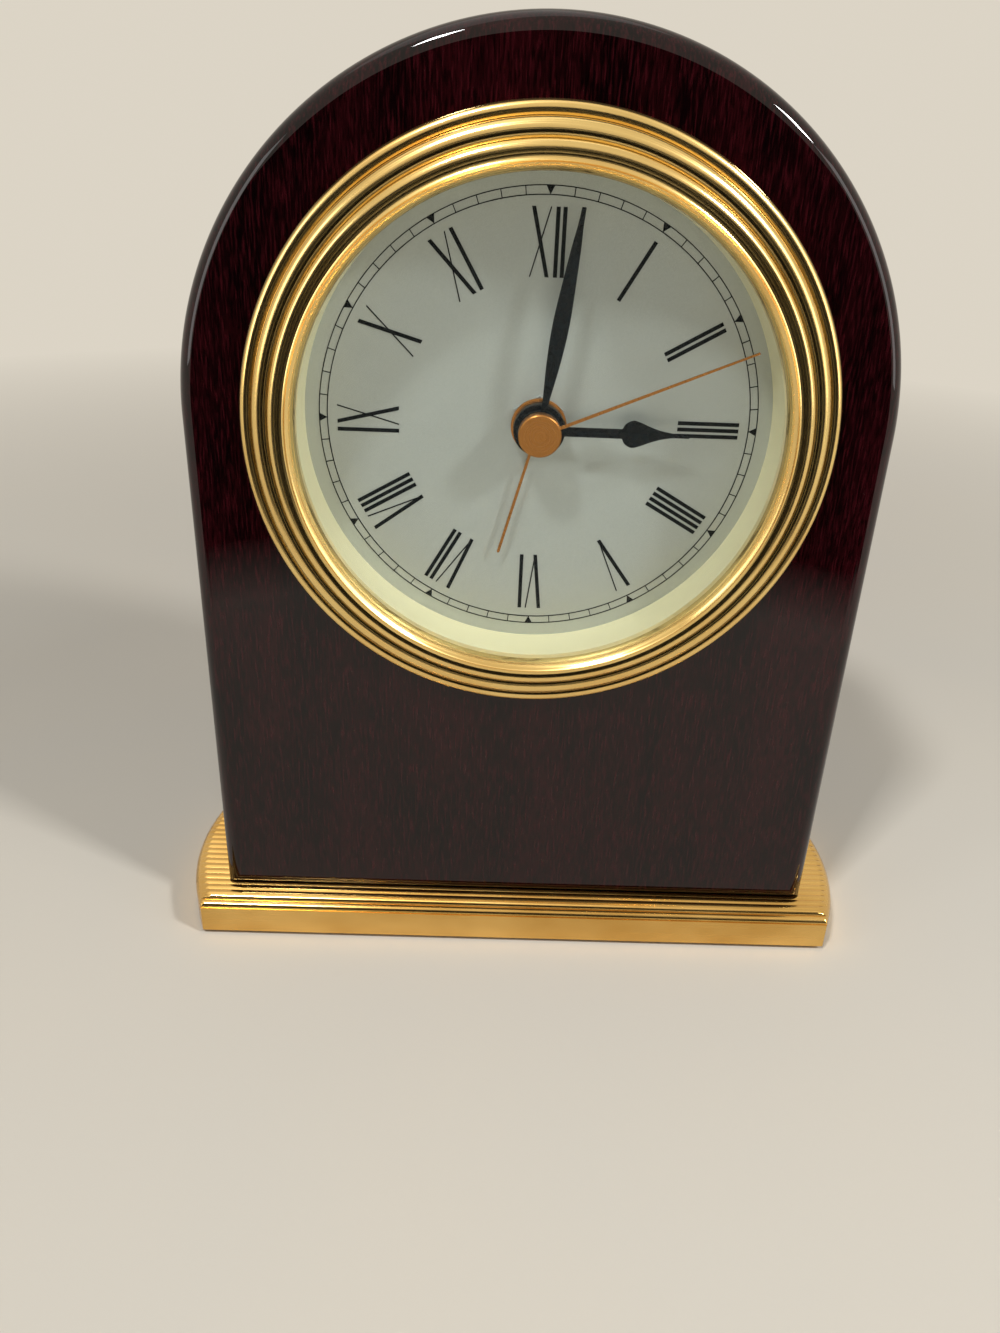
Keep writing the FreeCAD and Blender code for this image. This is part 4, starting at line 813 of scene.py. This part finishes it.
class CLOCK_OT_felt(bpy.types.Operator):
    """Felt under the base, cut to the base's plan a little smaller"""

    bl_idname = "clock.felt"
    bl_label = "Felt"

    def execute(self, context):
        sizes = context.scene.clock_base
        half = FELT_HIGH.y
        inset = BASE_HIGH.x - FELT_HIGH.x
        radius = sizes.end_radius - inset
        middle = FELT_HIGH.x - radius
        corner = middle + sqrt(radius * radius - half * half)
        turn = 2 * asin(half / radius)
        shape = bmesh.new()
        for side in (-1, 1):
            start = shape.verts.new((side * corner, -side * half, FELT_LOW.z))
            swept(shape, start, (side * middle, 0, FELT_LOW.z), AXIS_Z, turn, 24)
        ends = [v for v in shape.verts if len(v.link_edges) == 1]
        for y in (-half, half):
            shape.edges.new([v for v in ends if abs(v.co.y - y) < WELD])
        bmesh.ops.contextual_create(shape, geom=shape.edges[:])
        area = sum(face.calc_area() for face in shape.faces)
        pull(shape, (0, 0, FELT_HIGH.z - FELT_LOW.z))
        rims = [e for e in shape.edges if abs(e.verts[0].co.z - e.verts[1].co.z) < WELD]
        rounded(shape, rims, sizes.felt_round, 3)
        made = piece("felt_underlay", shape, "clock", "felt", "felt_sheet")
        return {"FINISHED"}


# Section of the bezel in millimetres. Each bead ends at a distance in from the outer radius and a
# height over the case. The cove ends at a distance outside the lip and a height over the case. The
# lip's front is low and slightly bowed. Behind the rim a hollow runs from its wall to the skirt,
# which has a gap and a wall round the glass.
RIM_HEIGHT = 0.65
BEAD_ENDS = ((1.66, 1.35), (4.03, 2.63), (5.65, 3.67))
COVE_END = (1.0, 4.33)
LIP_HEIGHT = 2.26
LIP_RISE = 0.12
RIM_WALL = 1.4
RIM_HOLLOW = 0.85
SKIRT_GAP = 0.1
SKIRT_WALL = 0.9


class CLOCK_OT_bezel(bpy.types.Operator):
    """Turned ring with three beads, a cove and a lip, and its skirt inside the can"""

    bl_idname = "clock.bezel"
    bl_label = "Bezel"

    def execute(self, context):
        sizes = context.scene.clock_bezel
        face = CASE_LOW.y
        outer = sizes.outer
        lip = sizes.lip
        skirt = GLASS_HIGH.x + SKIRT_GAP * MM
        wall = skirt + SKIRT_WALL * MM
        hollow = face - RIM_HOLLOW * MM
        rim = outer - RIM_WALL * MM
        moves = [(outer, face - RIM_HEIGHT * MM)]
        moves += [(outer - x * MM, face - y * MM, -sizes.bead) for x, y in BEAD_ENDS]
        moves += [
            (lip + COVE_END[0] * MM, face - COVE_END[1] * MM, sizes.cove),
            (lip, face - LIP_HEIGHT * MM, -LIP_RISE),
            (lip, GLASS_LOW.y),
            (skirt, GLASS_LOW.y),
            (skirt, BEZEL_BACK),
            (wall, BEZEL_BACK),
            (wall, hollow),
            (rim, hollow),
            (rim, face),
        ]
        shape = turned((outer, face), moves, facets=sizes.turn_steps, arc_facets=10)
        piece("turned_bezel", shape, "clock", "gilt_brass", "bezel", flat_edges=50.0)
        return {"FINISHED"}


class CLOCK_OT_crystal(bpy.types.Operator):
    """Flat glass behind the lip"""

    bl_idname = "clock.crystal"
    bl_label = "Crystal"

    def execute(self, context):
        middle = HUB + Vector((0, (GLASS_LOW.y + GLASS_HIGH.y) / 2, 0))
        shape = bmesh.new()
        bmesh.ops.create_cone(
            shape,
            cap_ends=True,
            segments=192,
            radius1=GLASS_HIGH.x,
            radius2=GLASS_HIGH.x,
            depth=GLASS_HIGH.y - GLASS_LOW.y,
            matrix=Matrix.Translation(middle) @ Matrix.Rotation(pi / 2, 4, "X"),
        )
        soften(shape, 0.15 * MM, facets=1)
        piece("flat_crystal", shape, "clock", "clear_glass", "crystal")
        return {"FINISHED"}


class CLOCK_OT_dial_ring(bpy.types.Operator):
    """Cream ring between the glass and the dial, with its foot round the dial's edge"""

    bl_idname = "clock.dial_ring"
    bl_label = "Dial ring"

    def execute(self, context):
        inner = context.scene.clock_bezel.lip
        outer = RING_HIGH.x
        shoulder = GLASS_HIGH.x + 0.05 * MM
        foot = DIAL_FACE - 1.0 * MM
        moves = [
            (shoulder, RING_LOW.y),
            (shoulder, foot),
            (outer, foot),
            (outer, DIAL_FACE),
            (inner, DIAL_FACE),
        ]
        shape = turned((inner, RING_LOW.y), moves)
        soften(shape, 0.12 * MM)
        piece("cream_dial_ring", shape, "clock", "cream_plastic", "flange_ring")
        return {"FINISHED"}


# Half outlines of the leaf and the spade, as shares of the hand's length and greatest width.
LEAF = (
    (0.16, 0.42), (0.34, 0.85), (0.51, 1.0), (0.70, 0.77), (0.84, 0.54), (0.92, 0.34), (1.0, 0.25),
)
SPADE = (
    (0.552, 0.35), (0.572, 0.74), (0.62, 1.0), (0.675, 0.85), (0.738, 0.57), (0.805, 0.33),
    (0.885, 0.16),
)
LEAF_WIDE = 2.2 * MM
SPADE_WIDE = 3.74 * MM


def smooth_side(shares, long, wide, facets=5):
    """Points (half width, distance) of a side that runs smoothly through its shares."""
    ends = [shares[0], *shares, shares[-1]]
    side = []
    for before, start, end, after in zip(ends, ends[1:], ends[2:], ends[3:]):
        for step in range(facets):
            t = step / facets
            point = []
            for p, q, r, s in zip(before, start, end, after):
                bend = 2 * p - 5 * q + 4 * r - s
                twist = 3 * q - p - 3 * r + s
                point.append(0.5 * (2 * q + (r - p) * t + bend * t * t + twist * t ** 3))
            side.append((point[1] * wide / 2, point[0] * long))
    side.append((shares[-1][1] * wide / 2, shares[-1][0] * long))
    return side


def blade(side, front, thickness, angle, edge):
    """Flat blade with the same outline on both sides, turned to its angle from the twelve."""
    outline = side + [(-x, z) for x, z in reversed(side) if x > WELD]
    shape = bmesh.new()
    shape.faces.new([shape.verts.new((x, DIAL_FACE - front, z)) for x, z in outline])
    pull(shape, (0, thickness, 0))
    soften(shape, edge)
    turn = Matrix.Translation(HUB) @ Matrix.Rotation(radians(angle), 4, "Y")
    bmesh.ops.transform(shape, verts=shape.verts, matrix=turn)
    return shape


def collar(outer, inner, front, back, edge):
    """Ring round the hands' axis, between two heights above the dial."""
    front_y = DIAL_FACE - front
    back_y = DIAL_FACE - back
    moves = [(outer, front_y), (outer, back_y), (inner, back_y)]
    shape = turned((inner, front_y), moves, facets=96)
    soften(shape, edge)
    return shape


class CLOCK_OT_hands(bpy.types.Operator):
    """Leaf, spade and slim alarm hand on their collars, and the second hand under the cap"""

    bl_idname = "clock.hands"
    bl_label = "Hands"

    def execute(self, context):
        sizes = context.scene.clock_hands
        # Outlines from the collar out to the tip, as half width and distance from the axis.
        neck = LEAF[0][1] * LEAF_WIDE / 2
        leaf = [(neck, 1.9 * MM)] + smooth_side(LEAF, sizes.minute_length, LEAF_WIDE)
        spade = [
            (1.3 * MM / 2, 2.4 * MM),
            *smooth_side(SPADE, sizes.hour_length, SPADE_WIDE),
            (0.6 * MM / 2, sizes.hour_length),
        ]
        half = 0.2 * MM
        slim = [(half, 3.0 * MM), (half, sizes.alarm_length - half), (0, sizes.alarm_length)]
        fine = [(0.23 * MM, 2.6 * MM), (0.15 * MM, sizes.second_length)]
        # The outline, the front's height over the dial and the thickness, both in millimetres, the
        # degrees from the twelve at rest, and the collar's radii and back in millimetres.
        for name, node, body, slot, side, front, thick, angle, ring in (
            ("leaf_hand", "minute_hand", "minute_shaft", "black_hand",
             leaf, 4.65, 0.3, 8.2, (3.05, 1.0, 3.75)),
            ("spade_hand", "hour_hand", "hour_shaft", "black_hand",
             spade, 3.5, 0.3, 90.2, (3.55, 1.65, 1.6)),
            ("slim_alarm_hand", "alarm_hand", "alarm_shaft", "copper_gold",
             slim, 1.35, 0.4, 195.0, (3.87, 2.3, 0.95)),
            ("fine_second_hand", "second_hand", "second_shaft", "copper_gold",
             fine, 6.1, 0.2, 67.1, None),
        ):
            front *= MM
            edge = sizes.edge if ring else 0.8 * sizes.edge
            shape = blade(side, front, thick * MM, angle, edge)
            if ring:
                outer, inner, back = (size * MM for size in ring)
                shape = combined(collar(outer, inner, front, back, edge), shape, "UNION")
            piece(name, shape, body, slot, node)
        return {"FINISHED"}


class CLOCK_OT_cap(bpy.types.Operator):
    """Faced cap over the hands' axis, with a bright bevel round its edge"""

    bl_idname = "clock.cap"
    bl_label = "Cap"

    def execute(self, context):
        radius = 2.92 * MM
        bevel = 0.18 * MM
        wall = 0.6 * MM
        pin = 0.5 * MM
        socket = 1.05 * MM
        front = DIAL_FACE - 6.45 * MM
        inside = front + wall
        back = DIAL_FACE - 4.9 * MM
        moves = [
            (radius - bevel, front),
            (radius, front + bevel),
            (radius, back),
            (radius - wall, back),
            (radius - wall, inside),
            (socket, inside),
            (socket, back),
            (pin, back),
            (pin, inside),
            (0, inside),
        ]
        shape = turned((0, front), moves, closed=False, facets=96)
        soften(shape, 0.03 * MM)
        piece("faced_cap", shape, "second_shaft", "copper_gold", "second_cap")
        return {"FINISHED"}


class CLOCK_OT_rear(bpy.types.Operator):
    """Rear cover, battery door, knobs, switch and screws with their moulded edges rounded"""

    bl_idname = "clock.rear"
    bl_label = "Rear fittings"

    def execute(self, context):
        # The last value is the rounding's width in millimetres.
        for name, node, body, slot, width in (
            ("moulded_cover", "rear_cover", "clock", "black_plastic", 0.2),
            ("moulded_door", "battery_door", "battery_door", "black_plastic", 0.2),
            ("fluted_time_knob", "time_set_knob", "time_setting", "black_plastic", 0.15),
            ("fluted_alarm_knob", "alarm_set_knob", "alarm_setting", "black_plastic", 0.15),
            ("ribbed_switch", "alarm_switch", "alarm_switch", "black_plastic", 0.1),
            ("headed_cover_screws", "cover_screws", "clock", "steel", 0.08),
        ):
            shape = bmesh.new()
            shape.from_mesh(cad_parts[node].data)
            bmesh.ops.remove_doubles(shape, verts=shape.verts, dist=WELD)
            bmesh.ops.dissolve_limit(
                shape, angle_limit=radians(0.5), verts=shape.verts, edges=shape.edges
            )
            soften(shape, width * MM)
            piece(name, shape, body, slot, node)
        return {"FINISHED"}


# The camera that fits the photograph: lens and sensor in millimetres, place, and turns in degrees.
LENS = 28.5497
SENSOR = 36.0
CAMERA_PLACE = Vector((-6.713, -153.342, 122.529)) * MM
CAMERA_TURNS = (62.51926, -2.03549, -0.00432)
LIGHTS_AIM = Vector((0, 0, 0.06))
FLOOR_RADIUS = 3.0
# How far from the clock the floor starts to turn into the room's colour, and where it has turned.
FLOOR_FADE = (0.14, 0.5)
# The dark card stands upright round the front of the clock: its distance from the middle, height,
# and where it starts and how far it reaches, in degrees. Its foot fades in over a short height.
CARD_AWAY = 0.162
CARD_HIGH = 0.158
CARD_START = 38
CARD_TURN = 104
CARD_FADE = 18 * MM


def sprayed_board(colour):
    """Floor board, sprayed: pale and matt, with the room's colour far from the clock."""
    tree, shader, place = start_finish("pale_sprayed_board", Roughness=0.8, Specular_IOR_Level=0.2)
    cloud = grain(tree, place, 60, 2.0)
    dress(shader, mottle(tree, cloud, NARROW, 0.3, colour, linear("#d3cfc6")))
    away = add(tree, "VectorMath", {0: place}, "Value", operation="LENGTH")
    near, far = FLOOR_FADE
    faded = add(tree, "MapRange", {0: away, 1: near, 2: far, 3: 0.0, 4: 1.0}, 0)
    amount = add(tree, "Math", {0: one_for(tree, SEEN), 1: faded}, 0, operation="MULTIPLY")
    glow = add(tree, "Emission", {"Color": linear(ROOM_COLOUR), "Strength": ROOM_LEVEL}, 0)
    show(tree, add(tree, "MixShader", {0: amount, 1: shader.outputs["BSDF"], 2: glow}, "Shader"))


def flock_card():
    """Card with black flock: hardly any light comes back, and the foot fades in."""
    tree, shader, place = start_finish("black_flock_card", Roughness=1.0)
    flock = grain(tree, place, 2, 2.0)
    mixed = add(tree, "Mix", {0: flock, 6: linear("#050505"), 7: linear("#0a0909")}, **MIXED)
    height = add(tree, "SeparateXYZ", {0: place}, "Z")
    fade = add(tree, "MapRange", {0: height, 1: 0.0, 2: CARD_FADE, 3: 0.0, 4: 1.0}, 0)
    dress(shader, mixed)
    tree.links.new(fade, shader.inputs["Alpha"])


def soft_room(strength):
    """World light of a given strength, seen as a plain pale room."""
    world = bpy.data.worlds.new("soft_room")
    world.use_nodes = True
    bpy.context.scene.world = world
    tree = world.node_tree
    ground = next(n for n in tree.nodes if n.type == "BACKGROUND")
    ground.inputs["Color"].default_value = linear(ROOM_COLOUR)
    seen = one_for(tree, SEEN)
    shown = add(tree, "MapRange", {0: seen, 1: 0.0, 2: 1.0, 3: strength, 4: ROOM_LEVEL}, 0)
    tree.links.new(shown, ground.inputs["Strength"])


class CLOCK_OT_stage(bpy.types.Operator):
    """Pale floor, soft lights, dark card in front and the camera"""

    bl_idname = "clock.stage"
    bl_label = "Stage"

    def execute(self, context):
        scene = context.scene
        sizes = scene.clock_stage
        sprayed_board(scene.clock_colours.floor)
        shape = bmesh.new()
        bmesh.ops.create_circle(shape, cap_ends=True, segments=96, radius=FLOOR_RADIUS)
        floor = placed("floor", shape, bpy.data.materials["pale_sprayed_board"])
        flock_card()
        shape = bmesh.new()
        ends = [shape.verts.new((-CARD_AWAY, 0, height)) for height in (0, CARD_HIGH)]
        wire = ends + [shape.edges.new(ends)]
        start = Matrix.Rotation(radians(CARD_START), 3, "Z")
        bmesh.ops.rotate(shape, verts=ends, cent=(0, 0, 0), matrix=start)
        bmesh.ops.spin(
            shape, geom=wire, cent=(0, 0, 0), axis=AXIS_Z, angle=radians(CARD_TURN), steps=48
        )
        card = placed("dark_card", shape, bpy.data.materials["black_flock_card"])
        for rays in ("camera", "diffuse", "shadow", "transmission"):
            setattr(card, "visible_" + rays, False)
        for name, strength, width, height, place in (
            ("overhead_light", sizes.overhead, 0.7, 0.5, (-0.1, 0.12, 0.8)),
            ("upper_left_light", sizes.front, 0.07, 0.07, (-0.18, -0.3, 0.6)),
            ("upper_right_light", sizes.front, 0.07, 0.07, (0.42, -0.29, 0.46)),
            ("left_light", sizes.side, 0.16, 0.4, (-0.5, -0.3, 0.22)),
            ("right_light", sizes.side, 0.16, 0.4, (0.52, -0.26, 0.22)),
        ):
            light = bpy.data.lights.new(name, "AREA")
            light.shape = "RECTANGLE"
            light.size = width
            light.size_y = height
            light.energy = strength
            lamp = bpy.data.objects.new(name, light)
            lamp.location = place
            aim = LIGHTS_AIM - Vector(place)
            lamp.rotation_euler = aim.to_track_quat("-Z", "Y").to_euler()
            scene.collection.objects.link(lamp)
        soft_room(sizes.sky)
        view = bpy.data.cameras.new("camera")
        view.lens = LENS
        view.sensor_width = SENSOR
        view.clip_start = 0.01
        camera = bpy.data.objects.new("camera", view)
        camera.location = CAMERA_PLACE
        camera.rotation_euler = [radians(turn) for turn in CAMERA_TURNS]
        scene.collection.objects.link(camera)
        scene.camera = camera
        scene.view_settings.view_transform = "Standard"
        return {"FINISHED"}


OPERATORS = (
    CLOCK_OT_stage,
    CLOCK_OT_finishes,
    CLOCK_OT_case,
    CLOCK_OT_base,
    CLOCK_OT_felt,
    CLOCK_OT_bezel,
    CLOCK_OT_crystal,
    CLOCK_OT_dial_ring,
    CLOCK_OT_hands,
    CLOCK_OT_cap,
    CLOCK_OT_rear,
)


class CLOCK_PT_panel(bpy.types.Panel):
    """Sizes and colours of the clock, and a button for each of its pieces"""

    bl_idname = "CLOCK_PT_panel"
    bl_label = "Arched shelf clock"
    bl_space_type = "VIEW_3D"
    bl_region_type = "UI"
    bl_category = "Clock"

    def draw(self, context):
        layout = self.layout
        for key in GROUPS:
            group = getattr(context.scene, key)
            box = layout.box()
            for name in group.__annotations__:
                box.prop(group, name)
        for operator in OPERATORS:
            layout.operator(operator.bl_idname)


CLASSES = tuple(GROUPS.values()) + OPERATORS + (CLOCK_PT_panel,)


def register():
    for item in CLASSES:
        bpy.utils.register_class(item)
    for key, group in GROUPS.items():
        setattr(bpy.types.Scene, key, PointerProperty(type=group))


def unregister():
    for key in GROUPS:
        delattr(bpy.types.Scene, key)
    for item in reversed(CLASSES):
        bpy.utils.unregister_class(item)


def main():
    """Make the whole clock."""
    register()
    for operator in OPERATORS:
        family, name = operator.bl_idname.split(".")
        getattr(getattr(bpy.ops, family), name)()


if __name__ == "__main__":
    main()
